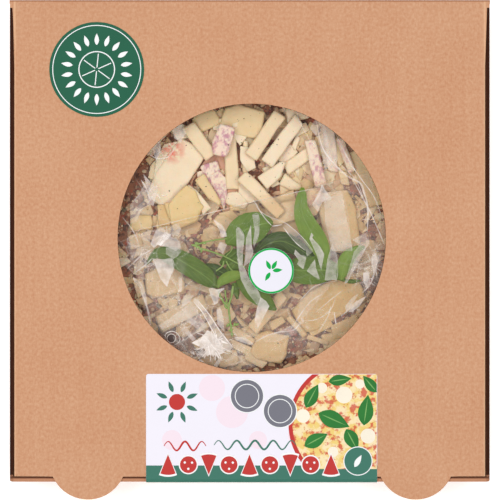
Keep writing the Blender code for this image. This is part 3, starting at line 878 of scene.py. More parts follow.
def tree_scatter():
    """Small pieces strewn on faces, more where the stored number is high, each with its own kind."""
    tree = Group("scatter", {"Geometry": "Geometry", "Density": 10000.0, "Smallest": 0.6, "Largest": 1.4,
                             "Lie": 0.6, "Seed": 0, "Pieces": "Collection", "Finish": "Material"},
                 {"Geometry": "Geometry"}, "Geometry")
    wanted = tree.get("GeometryNodeInputNamedAttribute", "Attribute", {"data_type": "FLOAT"}, Name="strewn")
    points = tree.get("GeometryNodeDistributePointsOnFaces", Mesh=tree["Geometry"],
                      Density=tree["Density"] * wanted, Seed=tree["Seed"])
    kinds = tree.get("GeometryNodeCollectionInfo", Collection=tree["Pieces"], Separate_Children=True,
                     Reset_Children=True)
    back = tree["Lie"] * -1.0
    low = tree.get("ShaderNodeCombineXYZ", X=back, Y=back, Z=0.0)
    high = tree.get("ShaderNodeCombineXYZ", X=tree["Lie"], Y=tree["Lie"], Z=tau)

    def drawn(data_type, seed, first, bounds):
        """A random value for each point, between bounds that go to the inputs from the first on."""
        node = tree.add("FunctionNodeRandomValue", {"data_type": data_type}, Seed=seed)
        for index, bound in enumerate(bounds):
            feed(tree.tree, node.inputs[first + index], bound)
        return Value(tree.tree, node.outputs[first // 2])

    spin = drawn("FLOAT_VECTOR", tree["Seed"], 0, (low, high))
    size = drawn("FLOAT", tree["Seed"] + 11.0, 2, (tree["Smallest"], tree["Largest"]))
    placed = tree.get("GeometryNodeInstanceOnPoints", Points=points, Instance=kinds, Pick_Instance=True,
                      Rotation=spin, Scale=size)
    kind = drawn("FLOAT", tree["Seed"] + 23.0, 2, ())
    marked = tree.get("GeometryNodeStoreNamedAttribute", 0, {"data_type": "FLOAT", "domain": "INSTANCE"},
                      Geometry=placed, Name="kind", Value=kind)
    return tree.finished(marked)


def path_carrier(points, closed=False):
    """A chain of edges for a geometry tree to follow."""
    mesh = bpy.data.meshes.new("path")
    edges = [(index, index + 1) for index in range(len(points) - 1)]
    mesh.from_pydata(points, edges + [(len(points) - 1, 0)] * closed, [])
    return linked("carrier", mesh)

# Box


class PIZZA_OT_board(bpy.types.Operator):
    """Kraft finish of the tray and the lid, their raw corrugated edges and the folded hinge"""

    bl_idname = "pizza.board"
    bl_label = "Board"

    def execute(self, context):
        settings = context.scene.pizza_board
        kraft = tuple(settings.kraft)
        dress("lid", finish_kraft("board_lid", kraft, lid=True))
        dress("tray", finish_kraft("board_tray", kraft))
        raw_edge_and_shade = finish_raw_edge(tuple(settings.raw_edge))
        flutes = tree_flutes()
        sizes = {"Pitch": settings.flute_pitch, "Paper": settings.flute_paper / 2, "Finish": raw_edge_and_shade,
                 "Swing": BOARD / 2 - 0.3 * MM}
        lift = 0.02 * MM
        ring = [(x, y, LID_TOP - BOARD / 2) for x, y in circle(WINDOW_CENTRE, WINDOW_RADIUS - lift, 180)]
        window = run_tree(path_carrier(ring, closed=True), flutes, Direction=(0, 0, 1), **sizes)
        piece_object("lid_window_flutes", window, raw_edge_and_shade, "lid", smooth_angle=50)
        walls = []
        for side in (-1, 1):
            run = [(side * (SIDE - BOARD / 2), y, WALL_TOP + lift) for y in (BACK - 3 * MM, FRONT + 3 * MM)]
            walls.append(run_tree(path_carrier(run), flutes, Direction=(1, 0, 0), **sizes))
        piece_object("tray_wall_flutes", joined(walls), raw_edge_and_shade, "base", smooth_angle=50)
        self.make_hinge_fold(kraft)
        return {"FINISHED"}

    def make_hinge_fold(self, kraft):
        """Outer paper of the board, which bends round the fold at the back."""
        lift, reach, bend = 0.12 * MM, 5 * MM, 1.2 * MM
        corner = (BACK + lift - bend, LID_TOP + lift - bend)
        ends = [(BACK + lift, LID_TOP - reach)], [(BACK - reach, LID_TOP + lift)]
        profile = ends[0] + arc(corner, bend, 0, 90, 8) + ends[1]
        half, columns = SIDE - 0.3 * MM, 24
        across = [-half + 2 * half * step / columns for step in range(columns + 1)]
        bm = bmesh.new()
        skin(bm, [[bm.verts.new((x, y, z)) for x in across] for y, z in profile])
        mesh = mesh_from(bm)
        mesh.materials.append(finish_kraft("board_hinge", kraft, lid=True))
        mesh.shade_smooth()
        strip = linked("hinge_fold", mesh)
        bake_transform(strip)


# Stickers and the label

ROUND_STICKER = Vector((-98.7 * MM, 116.4 * MM, 0))
ROUND_STICKER_RADIUS = 30.6 * MM
LABEL_TOP = LID_TOP + 0.32 * MM
LABEL_LEFT = -66.9 * MM
LABEL_RIGHT = 82.2 * MM
LABEL_BACK = -80 * MM
LABEL_BEND = 3.2 * MM
LABEL_FACE = FRONT - 0.45 * MM
LABEL_FOLD_START = LABEL_FACE + LABEL_BEND


def white_print():
    return bpy.data.materials.get("print_white") or finish_paper("print_white", tint(246, 247, 247))


def flat_print(name, outlines, level, finish, body, thickness):
    """One colour of print: closed flat shapes laid at one height."""
    bm = bmesh.new()
    for outline in outlines:
        prism(outline, level, level + thickness, into=bm)
    return piece_object(name, mesh_from(bm), finish, body)


def turned(point, turn, centre):
    """A point turned by degrees about the origin, then carried to a centre."""
    return tuple(Matrix.Rotation(radians(turn), 2) @ Vector(point) + Vector(centre[:2]))


def ring_outline(centre, radius, width, steps=64):
    """Outline of a ring with a hair's gap, so that it stays one outline."""
    end = 359.9
    return arc(centre, radius + width / 2, 0, end, steps) + arc(centre, radius - width / 2, end, 0, steps)


def leaf_outline(centre, length, width, turn):
    """A pointed leaf shape."""
    points = []
    for sign in (1, -1):
        for step in range(12):
            u = step / 12 if sign > 0 else 1 - step / 12
            points.append(turned(((u - 0.5) * length, sign * width / 2 * sin(pi * u ** 0.8)), turn, centre))
    return points


def wave_outline(start, end, height, waves, width):
    """A wavy stroke between two places."""
    start = Vector(start)
    run = Vector(end) - start
    across = Vector((-run.y, run.x)).normalized()
    shares = [step / 60 for step in range(61)]
    middle = [start + run * share + across * height / 2 * sin(tau * waves * share) for share in shares]
    upper, lower = [], []
    for share, point, along in zip(shares, middle, runs(middle)):
        side = Vector((-along.y, along.x)) * width / 2 * (0.35 + 0.65 * sin(pi * share))
        upper.append(tuple(point + side))
        lower.append(tuple(point - side))
    return upper + lower[::-1]


def slice_outline(centre, height, turn):
    """A wedge with a rounded broad end."""
    tip = (0, -height / 2)
    return [turned(point, turn, centre) for point in [tip] + arc(tip, height, 68, 112, 8)]


def label_point(x, path, lift):
    """A place on the label, by the way from its back edge over the fold and down the front wall."""
    flat = LABEL_BACK - LABEL_FOLD_START
    quarter = LABEL_BEND * pi / 2
    if path <= flat:
        return x, LABEL_BACK - path, LABEL_TOP + lift
    low = LABEL_TOP - LABEL_BEND
    if path <= flat + quarter:
        turn = (path - flat) / LABEL_BEND
        radius = LABEL_BEND + lift
        return x, LABEL_FOLD_START - sin(turn) * radius, low + cos(turn) * radius
    return x, LABEL_FACE - lift, low - (path - flat - quarter)


def cut_outline(outline, axis, limit, keep_below):
    """The part of an outline on one side of a line, which crosses x (axis 0) or y (axis 1) at a limit."""
    kept = []
    for start, end in zip(outline, outline[1:] + outline[:1]):
        inside = [(place[axis] <= limit) == keep_below for place in (start, end)]
        if inside[0]:
            kept.append(start)
        if inside[0] != inside[1]:
            share = (limit - start[axis]) / (end[axis] - start[axis])
            kept.append(tuple(a + (b - a) * share for a, b in zip(start, end)))
    return kept


class PIZZA_OT_round_sticker(bpy.types.Operator):
    """Round green sticker with a thin ring and a plain wheat and slice motif"""

    bl_idname = "pizza.round_sticker"
    bl_label = "Round sticker"

    def execute(self, context):
        settings = context.scene.pizza_print
        dress("round_sticker", finish_paper("sticker_green", tuple(settings.green), 0.36, 0.1))
        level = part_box("round_sticker")[1].z + 0.01 * MM
        centre = ROUND_STICKER
        marks = [ring_outline(centre, ROUND_STICKER_RADIUS - 2.2 * MM, 0.55 * MM, 90),
                 ring_outline(centre, 11.5 * MM, 0.7 * MM, 60)]
        spoke = [(x * MM, y * MM) for x, y in ((1.2, -0.3), (10.2, -0.3), (10.2, 0.3), (1.2, 0.3))]
        marks += [[turned(point, turn, centre) for point in spoke] for turn in range(24, 384, 60)]
        for turn in range(10, 370, 20):
            marks.append(leaf_outline(around(centre, 19.5 * MM, turn), 7.5 * MM, 2.9 * MM, turn))
        flat_print("round_sticker_motif", marks, level, white_print(), "lid", settings.film_thickness)
        return {"FINISHED"}


# The label's picture: places in pixels, sizes in millimetres, turns in degrees
PICTURE_BLOBS = (
    (303, 416, 4.4), (344, 395, 5.4), (368, 436, 4.8), (333, 452, 3.4), (360, 384, 3.0), (322, 388, 3.4),
)
PICTURE_LEAVES = (
    (312, 396, 17, 8.5, 62), (334, 420, 22, 11, -24), (316, 440, 17, 9, 28), (366, 410, 20, 10, 82),
    (352, 440, 16, 9, -62), (340, 380, 15, 7, 8), (370, 384, 14, 7, 130),
)

# Faint discs of the label: middle and radius in pixels
FAINT_DISCS = ((212, 388, 13), (232, 412, 16), (172, 440, 10), (300, 436, 12), (258, 440, 9))


class PIZZA_OT_label(bpy.types.Operator):
    """Front label: pale field, green band round the front edge, and plain fields of colour"""

    bl_idname = "pizza.label"
    bl_label = "Front label"

    def execute(self, context):
        settings = context.scene.pizza_print
        self.step = settings.film_thickness
        dress("front_label", finish_paper("label_paper", tuple(settings.paper), 0.34, 0.015))
        self.white = white_print()
        self.red = finish_paper("print_red", tuple(settings.red))
        self.green = finish_paper("print_green", tint(66, 120, 104))
        self.make_band()
        pink = finish_paper("print_pink", tint(244, 226, 236), clouds=0.01)
        discs = [circle(self.on_label(px, py), radius * PHOTO_SCALE, 40) for px, py, radius in FAINT_DISCS]
        self.lay("faint_discs", 0, pink, discs)
        self.make_picture()
        self.make_row()
        for name, layer, finish, left, right, level, waves in (
                ("wave_red", 1, self.red, 164, 206, 446, 2.5),
                ("wave_green", 7, self.green, 214, 296, 445, 4.5)):
            ends = self.on_label(left, level), self.on_label(right, level)
            self.lay(name, layer, finish, [wave_outline(*ends, 9 * PHOTO_SCALE, waves, 1.3 * MM)])
        self.make_emblems()
        return {"FINISHED"}

    def on_label(self, px, py):
        return tuple(seen_at(px, py, LABEL_TOP))[:2]

    def lay(self, name, layer, finish, outlines):
        level = LABEL_TOP + 0.01 * MM + layer * self.step
        flat_print("label_" + name, outlines, level, finish, "lid", self.step)

    def make_band(self):
        """Green band that goes over the front fold and down the front wall, with rounded lower corners."""
        start = LABEL_BACK - self.on_label(0, 465.5)[1]
        total = LABEL_BACK - LABEL_FOLD_START + LABEL_BEND * pi / 2 + 12 * MM
        margin, corner, steps = 0.05 * MM, 1.9 * MM, 96
        top = margin + self.step
        bm = bmesh.new()
        rows = []
        for index in range(steps + 1):
            path = start + (total - start) * index / steps
            inset = margin + max(0, 1 - (total - path) / corner) ** 2 * 1.3 * MM
            left, right = LABEL_LEFT + inset, LABEL_RIGHT - inset
            corners = ((left, margin), (right, margin), (right, top), (left, top))
            rows.append([bm.verts.new(label_point(x, path, lift)) for x, lift in corners])
        skin(bm, rows, closed=True)
        bm.faces.new([rows[0][index] for index in (0, 3, 2, 1)])
        bm.faces.new(rows[-1])
        bmesh.ops.recalc_face_normals(bm, faces=bm.faces)
        piece_object("label_band", mesh_from(bm), self.green, "lid", smooth_angle=40)

    def make_row(self):
        """A row of slices and discs in red with pale rims."""
        rims, fields, dots = [], [], []
        left, right, middle, last = 168, 331, 464.6, 8
        height = 21 * PHOTO_SCALE
        for index in range(last + 1):
            centre = self.on_label(left + (right - left) * index / last, middle)
            if index % 2:
                rims.append(circle(centre, height * 0.46, 36))
                fields.append(circle(centre, height * 0.40, 36))
                for turn in (0.5, 2.6, 4.7):
                    dots.append(circle(around(centre, height * 0.2, degrees(turn)), height * 0.055, 12))
            else:
                turn = 0 if index % 4 else 180
                rims.append(slice_outline(centre, height * 1.16, turn))
                fields.append(slice_outline(centre, height * 0.98, turn))
        self.lay("row_rims", 7, self.white, rims)
        self.lay("row_fields", 8, self.red, fields)
        self.lay("row_dots", 9, self.white, dots)

    def make_emblems(self):
        """A rosette, two ringed discs, and a round badge with a leaf."""
        centre = self.on_label(177, 402)
        self.lay("emblem_core", 1, self.red, [circle(centre, 5.2 * MM, 40)])
        turns = range(22, 382, 45)
        leaves = [leaf_outline(around(centre, 10.6 * MM, turn), 7.6 * MM, 2.9 * MM, turn) for turn in turns]
        self.lay("emblem_leaves", 1, self.green, leaves)
        centres = [self.on_label(247, 396), self.on_label(280, 411)]
        self.lay("disc_rims", 7, self.white, [circle(c, 11.0 * MM) for c in centres])
        grey = finish_paper("print_grey", tint(120, 120, 130))
        self.lay("discs", 8, grey, [circle(c, 10.4 * MM) for c in centres])
        self.lay("disc_rings", 9, self.white, [ring_outline(c, 7.6 * MM, 0.5 * MM) for c in centres])
        centre = self.on_label(358, 461)
        self.lay("badge_rim", 10, self.white, [circle(centre, 9.4 * MM)])
        self.lay("badge", 11, self.green, [circle(centre, 8.8 * MM)])
        self.lay("badge_leaf", 12, self.white, [leaf_outline(centre, 9 * MM, 3.4 * MM, 60)])

    def clipped(self, outline):
        """Keeps an outline within the label's back and right edges, and above its band."""
        outline = cut_outline(outline, 0, LABEL_RIGHT - 0.3 * MM, True)
        outline = cut_outline(outline, 1, LABEL_BACK - 0.3 * MM, True)
        return cut_outline(outline, 1, self.on_label(0, 469)[1], False)

    def make_picture(self):
        """A generic round field with pale blobs, red patches and leaves, cut off by the label's edge."""
        centre = self.on_label(352, 424)
        self.lay("picture_edge", 1, self.red, [self.clipped(circle(centre, 41 * MM, 80))])
        made = Finish("print_picture", 0.4, Specular_IOR_Level=0.2)
        ground = made.patches(6 * MM, tint(238, 206, 118), tint(246, 226, 180), 0.5, 0.08)
        red = made.patch_mask(5 * MM, 0.55, 0.05)
        made["Base Color"] = made.mix(red * 0.85, ground, tint(206, 66, 48))
        made.bump(red, 0.01 * MM, 0.2)
        self.lay("picture_field", 2, made.material, [self.clipped(circle(centre, 38.4 * MM, 80))])
        blobs = [circle(self.on_label(px, py), size * MM, 28) for px, py, size in PICTURE_BLOBS]
        cream = finish_paper("print_cream", tint(248, 238, 218), clouds=0.12)
        self.lay("picture_blobs", 3, cream, [self.clipped(blob) for blob in blobs])
        leaves, ribs = [], []
        for px, py, length, width, turn in PICTURE_LEAVES:
            place = self.on_label(px, py)
            leaves.append(self.clipped(leaf_outline(place, length * MM, width * MM, turn)))
            ribs.append(self.clipped(leaf_outline(place, length * 0.8 * MM, 0.7 * MM, turn)))
        self.lay("picture_leaves", 4, finish_paper("print_leaf", tint(50, 122, 56), clouds=0.4), leaves)
        self.lay("picture_ribs", 5, finish_paper("print_leaf_rib", tint(128, 176, 104), clouds=0.05), ribs)


# Pizza


class PIZZA_OT_dough(bpy.types.Operator):
    """Dough base with its blistered rim"""

    bl_idname = "pizza.dough"
    bl_label = "Dough"

    def execute(self, context):
        mesh = finer_copy("crust")
        roughen(mesh, (0.7 * MM, 14 * MM), (0.35 * MM, 4 * MM))
        dough = finish_dough(tuple(context.scene.pizza_food.dough))
        crust = piece_object("crust_surface", mesh, dough, "base", smooth_angle=80)
        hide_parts("crust")
        return {"FINISHED"}


class PIZZA_OT_sauce(bpy.types.Operator):
    """Chunky sauce with the cheese that lies round its edge"""

    bl_idname = "pizza.sauce"
    bl_label = "Sauce"

    def execute(self, context):
        mesh = remeshed(mesh_from(merged_copy("sauce")), 1.3 * MM)
        places = vertex_array(mesh)
        cheese = np.clip((places[:, 2] - SAUCE_LEVEL - 0.9 * MM) / (0.5 * MM), 0, 1)
        lumps = 0.55 * noise_at(places, 3.2 * MM, 2.0) + 0.35 * noise_at(places, 1.7 * MM, 5.0)
        raised = places[:, 2] > SAUCE_LEVEL - 1.2 * MM
        places[:, 2] += np.where(raised, lumps * MM * (1 - 0.7 * cheese), 0)
        put_vertices(mesh, places)
        store(mesh, "cheese_share", cheese)
        finish = finish_sauce(tuple(context.scene.pizza_food.sauce), tint(234, 212, 168))
        sauce = piece_object("sauce_surface", mesh, finish, "base", smooth_angle=80)
        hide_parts("sauce")
        return {"FINISHED"}


# Tone from cream to yellow, pink stain and red stain of the pieces that differ from the rest
CHEESE_LOOKS = {
    "wedge_yellow": (0.95, 0, 0), "stub_yellow": (0.9, 0, 0), "sliver_yellow": (0.75, 0, 0),
    "block_top": (0.7, 0, 0), "block_top_left": (0.75, 0, 0), "slab_upper_left": (0.12, 0, 0.9),
    "shred_pink_low": (0.1, 0.95, 0.2), "shred_pink_top": (0.1, 1.0, 0.1), "stick_pink": (0.1, 0.85, 0),
    "stick_edge": (0.05, 0.35, 0), "stick_right_b": (0.2, 0.5, 0), "lump_right": (0.3, 0.6, 0.3),
    "slab_right": (0.0, 0, 0), "slab_right_edge": (0.7, 0, 0), "slab_lower_right": (0.75, 0, 0),
    "chunk_low": (0.7, 0, 0), "chunk_left": (0.5, 0, 0), "stub_left": (0.9, 0, 0),
}


# Where the sauce has stained a piece, in pixels of the photograph
RED_SPOTS = {"cheese_slab_upper_left": (172, 150), "cheese_shred_pink_top": (214, 150),
             "cheese_lump_right": (330, 180)}
SMALL_RED_SPOT = (171, 144)
# Facets of larger pieces: two pixels of the edge between them, and the tone to the right of it
FACETS = {"cheese_slab_right": ((342, 193), (352, 247), 0.75),
          "cheese_slab_lower_right": ((318, 288), (312, 318), 0.95)}
CHEESE_SEEN_AT = 18 * MM
# Small cut pieces between the larger ones: top over the sauce in millimetres, tone, pink stain, red stain,
# and then the corners in pixels
SMALL_CUTS = (
    (10.9, 0.95, 0, 0, 186.4, 185, 195.7, 190.7, 201, 203.6, 198, 220, 184.3, 226, 171, 225, 168, 205, 177,
     193.6),
    (7.5, 1.3, 0, 0, 157.1, 205, 170, 203.6, 171.4, 225, 158.6, 226.4),
    (9.6, 0.1, 0, 0, 187.1, 184.3, 195.7, 189.3, 211.4, 207.9, 202.9, 215, 195.7, 198),
    (5.0, 0.15, 0, 1.0, 164, 143.6, 180, 140.7, 174, 160, 158, 186, 152.9, 179.3, 156, 159.3),
    (5.0, 0.15, 0, 0, 213, 120, 222, 118, 228, 126, 221, 132, 213, 130),
    (3.6, 0.15, 0, 0, 262, 168, 270, 165, 280, 184, 272, 188),
    (4.6, 0.15, 0, 0, 170, 129, 178, 122, 189, 127, 188, 138, 177, 140),
    (4.2, 0.1, 0.9, 0, 208.6, 176.4, 218.6, 170, 227.1, 179.3, 227.1, 196.4, 224.3, 210.7, 215.7, 193.6),
    (4.6, 0.95, 0, 0, 229, 196.4, 247, 198, 247, 210.7, 230, 210.7),
    (4.0, 0.6, 0, 0, 219, 213, 232, 210, 239, 217, 237, 228, 222, 229),
    (4.4, 0.5, 0, 0, 270.7, 199.3, 293.6, 189.3, 297.5, 205, 296, 219.3, 288, 220, 277.9, 210.7),
    (3.4, 0.7, 0, 0, 254, 207, 270, 209, 284, 216, 297, 221, 300, 234, 290, 242, 270, 232, 256, 222),
    (3.0, 0.55, 0.1, 0, 238, 200, 252, 199, 262, 207, 258, 216, 240, 216),
    (4.2, 0.1, 0, 0, 296.4, 133.6, 300.5, 137.9, 295.5, 150.7, 291.5, 146.4),
    (3.0, 0.2, 0.9, 0, 266, 160, 275, 156, 279, 163, 270, 175, 265, 170),
    (3.4, 0.3, 0, 0, 292, 128, 306, 122, 310, 130, 297, 137),
    (3.8, 0.65, 0, 0, 333, 136, 343, 140, 346, 160, 339, 168, 334, 152),
    (3.6, 0.4, 0, 0, 338, 170, 347, 172, 350, 186, 341, 184),
    (4.6, 0.3, 0, 0, 233.6, 331.4, 247.9, 325.7, 255, 320, 256, 336, 238, 340),
    (5.2, 0.15, 0, 0, 229.3, 338, 255, 349, 255, 359, 233.6, 348.6),
    (4.6, 0.55, 0, 0, 169.3, 297, 178, 300, 176.4, 314.3, 168, 308.6),
    (6.2, 0.5, 0, 0, 277.9, 294.3, 286.4, 296, 256, 337, 246, 331.4),
    (4.2, 0.8, 0, 0, 330.7, 325.7, 356.4, 314.3, 359.3, 320, 345, 337, 333.6, 340),
    (4.6, 1.0, 0, 0, 306.4, 328.6, 330.7, 320, 333.6, 325.7, 312, 337),
    (5.2, 0.3, 0, 0, 308, 334.3, 329.3, 341.4, 328, 345.7, 306.4, 339),
    (5.4, 0.3, 0, 0, 245, 348.6, 268, 362.9, 262, 368.6, 245, 360),
    (3.6, 0.4, 0, 0, 268, 322, 282, 316, 286, 322, 272, 331),
    (3.4, 0.7, 0.3, 0, 128, 236, 140, 232, 143, 246, 131, 250),
    (5.2, 0.05, 0, 0, 240, 146, 252, 148, 256, 168, 247, 172, 240, 160),
    (6.2, 0.05, 0, 0, 240, 178, 252, 184, 259, 200, 249, 204, 238, 192),
    (5.6, 0.1, 0, 0, 232, 124, 243, 120, 248, 136, 240, 146, 234, 138),
    (3.4, 0.1, 0.6, 0, 197, 172, 210, 168, 214, 182, 205, 189, 198, 182),
    (3.4, 0.15, 0.2, 0, 277, 150, 291, 144, 298, 152, 287, 164, 278, 161),
    (4.2, 0.4, 0, 0, 240, 290, 256, 287, 261, 298, 248, 306, 238, 300),
    (4.4, 0.3, 0, 0, 217, 307, 229, 302, 236, 316, 227, 327, 218, 319),
    (3.8, 0.5, 0, 0, 150, 166, 157, 158, 160, 168, 153, 180, 148, 178),
    (3.2, 0.6, 0.2, 0, 133, 282, 143, 280, 146, 292, 138, 299),
)


def neighbours(grid, **edges):
    """The sum of each cell's four neighbours in a grid."""
    padded = np.pad(grid, 1, **edges)
    return padded[:-2, 1:-1] + padded[2:, 1:-1] + padded[1:-1, :-2] + padded[1:-1, 2:]


class PouchShade:
    """How far a place lies under the pouch of leaves, from 0 to 1."""

    def __init__(self):
        tree = pouch_tree()
        low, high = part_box("leaf_pouch")
        self.cell = 3 * MM
        self.start = low.to_2d() - Vector((9, 9)) * MM
        columns, rows = (int(side / self.cell) + 7 for side in (high - low).to_2d())
        self.values = np.zeros((columns, rows))
        for cell in np.ndindex(columns, rows):
            spot = self.start + Vector(cell) * self.cell
            self.values[cell] = tree.ray_cast(Vector((*spot, 0)), UP)[0] is not None
        for _ in range(2):
            self.values = (neighbours(self.values) + self.values) / 5

    def at(self, places):
        i, j = np.rint((places[:, :2] - np.array(self.start)) / self.cell).astype(int).T
        columns, rows = self.values.shape
        inside = (i >= 0) & (j >= 0) & (i < columns) & (j < rows)
        return np.where(inside, self.values[np.clip(i, 0, columns - 1), np.clip(j, 0, rows - 1)], 0)


def leaning(rng, places, steepness):
    """The rise of each place when a piece leans a little to a random side."""
    lean = np.array([rng.uniform(-1, 1), rng.uniform(-1, 1)]) * steepness
    return (places[:, :2] - places.mean(axis=0)[:2]) @ lean


def set_look(mesh, places, look, shade, spot, reach, core):
    """Stores a piece's tone, its stains, the red one only near its spot, and the pouch's shade."""
    for label, value in zip(("tone", "stain", "red"), look):
        store(mesh, label, value)
    if look[2]:
        store(mesh, "red", look[2] * np.clip(core - away_from(places, spot, reach), 0, 1))
    store(mesh, "under_pouch", shade.at(places))


class PIZZA_OT_cheese(bpy.types.Operator):
    """Cut pieces of cheese, each over its own packed node"""

    bl_idname = "pizza.cheese"
    bl_label = "Cheese"

    def execute(self, context):
        food = context.scene.pizza_food
        finish = finish_cheese(tuple(food.cream), tuple(food.yellow))
        shade = PouchShade()
        rng = random.Random(5)
        for node in sorted(name for name in NODES if name.startswith("cheese_")):
            look = CHEESE_LOOKS.get(node[len("cheese_"):], (rng.uniform(0.05, 0.4), 0, 0))
            mesh = remeshed(mesh_from(merged_copy(node)), 0.7 * MM)
            places = vertex_array(mesh)
            places += vertex_array(mesh, True) * np.array((0.5 * MM, 0.5 * MM, 0))
            low, high = places[:, 2].min(), places[:, 2].max()
            places[:, 2] += (places[:, 2] - low) / (high - low) * leaning(rng, places, 0.035)
            for axis, (amount, size, seed) in enumerate(((0.5, 9, 1.0), (0.5, 9, 4.0), (0.8, 26, 7.0))):
                places[:, axis] += amount * MM * noise_at(places, size * MM, seed)
            put_vertices(mesh, places)
            roughen(mesh, (0.16 * MM, 2.6 * MM), (0.07 * MM, 1.1 * MM))
            spot = seen_at(*RED_SPOTS.get(node, (0, 0)), CHEESE_SEEN_AT)
            set_look(mesh, places, look, shade, spot, 8 * MM, 1.3)
            if node in FACETS:
                first, second = (seen_at(*pixel, CHEESE_SEEN_AT) for pixel in FACETS[node][:2])
                run = second - first
                side = (places[:, 0] - first.x) * run.y - (places[:, 1] - first.y) * run.x
                store(mesh, "tone", np.where(side < 0, FACETS[node][2], look[0]))
            piece = piece_object(node + "_cut", mesh, finish, "base", smooth_angle=50)
            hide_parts(node)
        self.add_small_cuts(finish, shade)
        return {"FINISHED"}

    def add_small_cuts(self, finish, shade):
        """Thin shards and cubes of cheese, a little tilted, with worn edges."""
        rng = random.Random(12)
        parts = []
        for top, tone, pink, red, *corners in SMALL_CUTS:
            level = SAUCE_LEVEL + top * MM
            outline = [seen_at(*corner, level).to_2d() for corner in grouped(corners)]
            mesh = remeshed(mesh_from(prism(outline, level - 4.5 * MM, level)), 0.6 * MM)
            places = vertex_array(mesh)
            places[:, 2] += leaning(rng, places, 0.09)
            put_vertices(mesh, places)
            roughen(mesh, (0.2 * MM, 3 * MM), (0.08 * MM, 1.1 * MM))
            set_look(mesh, places, (tone, pink, red), shade, seen_at(*SMALL_RED_SPOT, level), 7 * MM, 1.4)
            parts.append(mesh)
        piece_object("cheese_small_cut", joined(parts), finish, "base", smooth_angle=45)


def lump_mesh(rng, size, stretch, flat):
    """A small uneven lump with few faces."""
    bm = bmesh.new()
    bmesh.ops.create_icosphere(bm, subdivisions=1, radius=size)
    for vert in bm.verts:
        vert.co *= 1 + rng.uniform(-0.25, 0.25)
        vert.co.x *= stretch
        vert.co.z *= flat
    return mesh_from(bm)


def shred_mesh(rng, length, width):
    """A thin curved shred of grated cheese."""
    bend = rng.uniform(-0.35, 0.35)
    points = []
    for step in range(5):
        share = step / 4 - 0.5
        rise = width * 0.5 * rng.random()
        points.append(Vector((share * length, bend * length * (0.25 - share * share) * 2, rise)))
    bm = tube(smooth_route(points, 2), lambda share: width / 2 * (0.55 + 0.45 * sin(pi * share)), 5)
    return mesh_from(bm)


def chip_mesh(rng, length, width, thick):
    """A flat angular chip of cut cheese, a little worn at its edges."""
    sides = rng.choice((4, 5, 5, 6))
    outline = []
    for index in range(sides):
        turn = tau * (index + 0.5 + rng.uniform(-0.2, 0.2)) / sides
        size = rng.uniform(0.85, 1.15) / cos(pi / sides) / 2
        outline.append((size * cos(turn) * length, size * sin(turn) * width))
    bm = prism(outline, -thick / 2, thick / 2)
    bmesh.ops.bevel(bm, geom=bm.edges[:], offset=0.3 * MM, segments=2, affect="EDGES", profile=0.5)
    return mesh_from(bm)


# Layers of small cut pieces: name, sizes in millimetres, number in a square metre, tilt, and seed step
SCATTERED = (
    ("cheese_chips", ((9, 6, 2.0), (7, 6, 2.4), (12, 8, 1.8), (6, 4.5, 2.2), (10, 5, 2.6), (14, 9, 1.6)),
     17000, 0.16, 3),
    ("cheese_sticks", ((17, 3.6, 2.6), (13, 3.2, 2.2), (21, 4.4, 2.4), (11, 2.6, 2.0)), 5500, 0.10, 4),
    ("cheese_bits", ((3.6, 2.4, 1.6), (4.6, 3.0, 1.4), (2.6, 2.2, 1.8)), 30000, 0.5, 5),
)
# Places of the photograph where little cheese covers the sauce: middle and radius in pixels, and how bare
BARE_SPOTS = (
    (117, 190, 22, 1), (128, 170, 16, 1), (120, 225, 14, 0.9), (138, 150, 12, 0.8), (128, 265, 10, 0.7),
    (150, 325, 16, 0.9), (168, 345, 18, 1), (188, 352, 12, 0.8), (245, 312, 12, 0.9), (238, 322, 8, 0.9),
    (290, 341, 8, 1), (258, 368, 9, 1), (300, 358, 9, 0.8), (375, 285, 15, 0.9), (368, 310, 12, 0.8),
    (345, 330, 12, 0.5), (265, 109, 8, 1), (304, 121, 7, 1), (240, 147, 7, 1), (202, 158, 10, 0.9),
    (183, 341, 12, 1), (317, 140, 6, 1), (187, 322, 9, 1), (126, 240, 11, 0.9), (141, 257, 9, 0.8),
    (289, 338, 9, 1), (306, 316, 7, 0.8), (383, 258, 8, 1), (197, 334, 9, 0.9), (256, 168, 8, 0.9),
    (207, 172, 9, 0.8), (318, 165, 6, 1), (335, 143, 8, 0.8), (214, 195, 10, 0.6), (275, 190, 9, 0.9),
    (197, 140, 8, 0.6), (360, 160, 10, 0.4), (148, 213, 12, 0.5), (222, 305, 8, 0.6), (330, 285, 8, 0.6),
)
BLUSH_MIDDLE = (212, 176)
CRUMB_SIZES = ((0.9, 1.2), (1.2, 1.5), (0.7, 1.0), (1.5, 1.3))
SHRED_SIZES = ((9, 2.2), (13, 2.6), (7, 1.8), (11, 1.6), (16, 2.4))
FLECK_SIZES = ((0.24, 1.2), (0.34, 1.5), (0.2, 1.0))


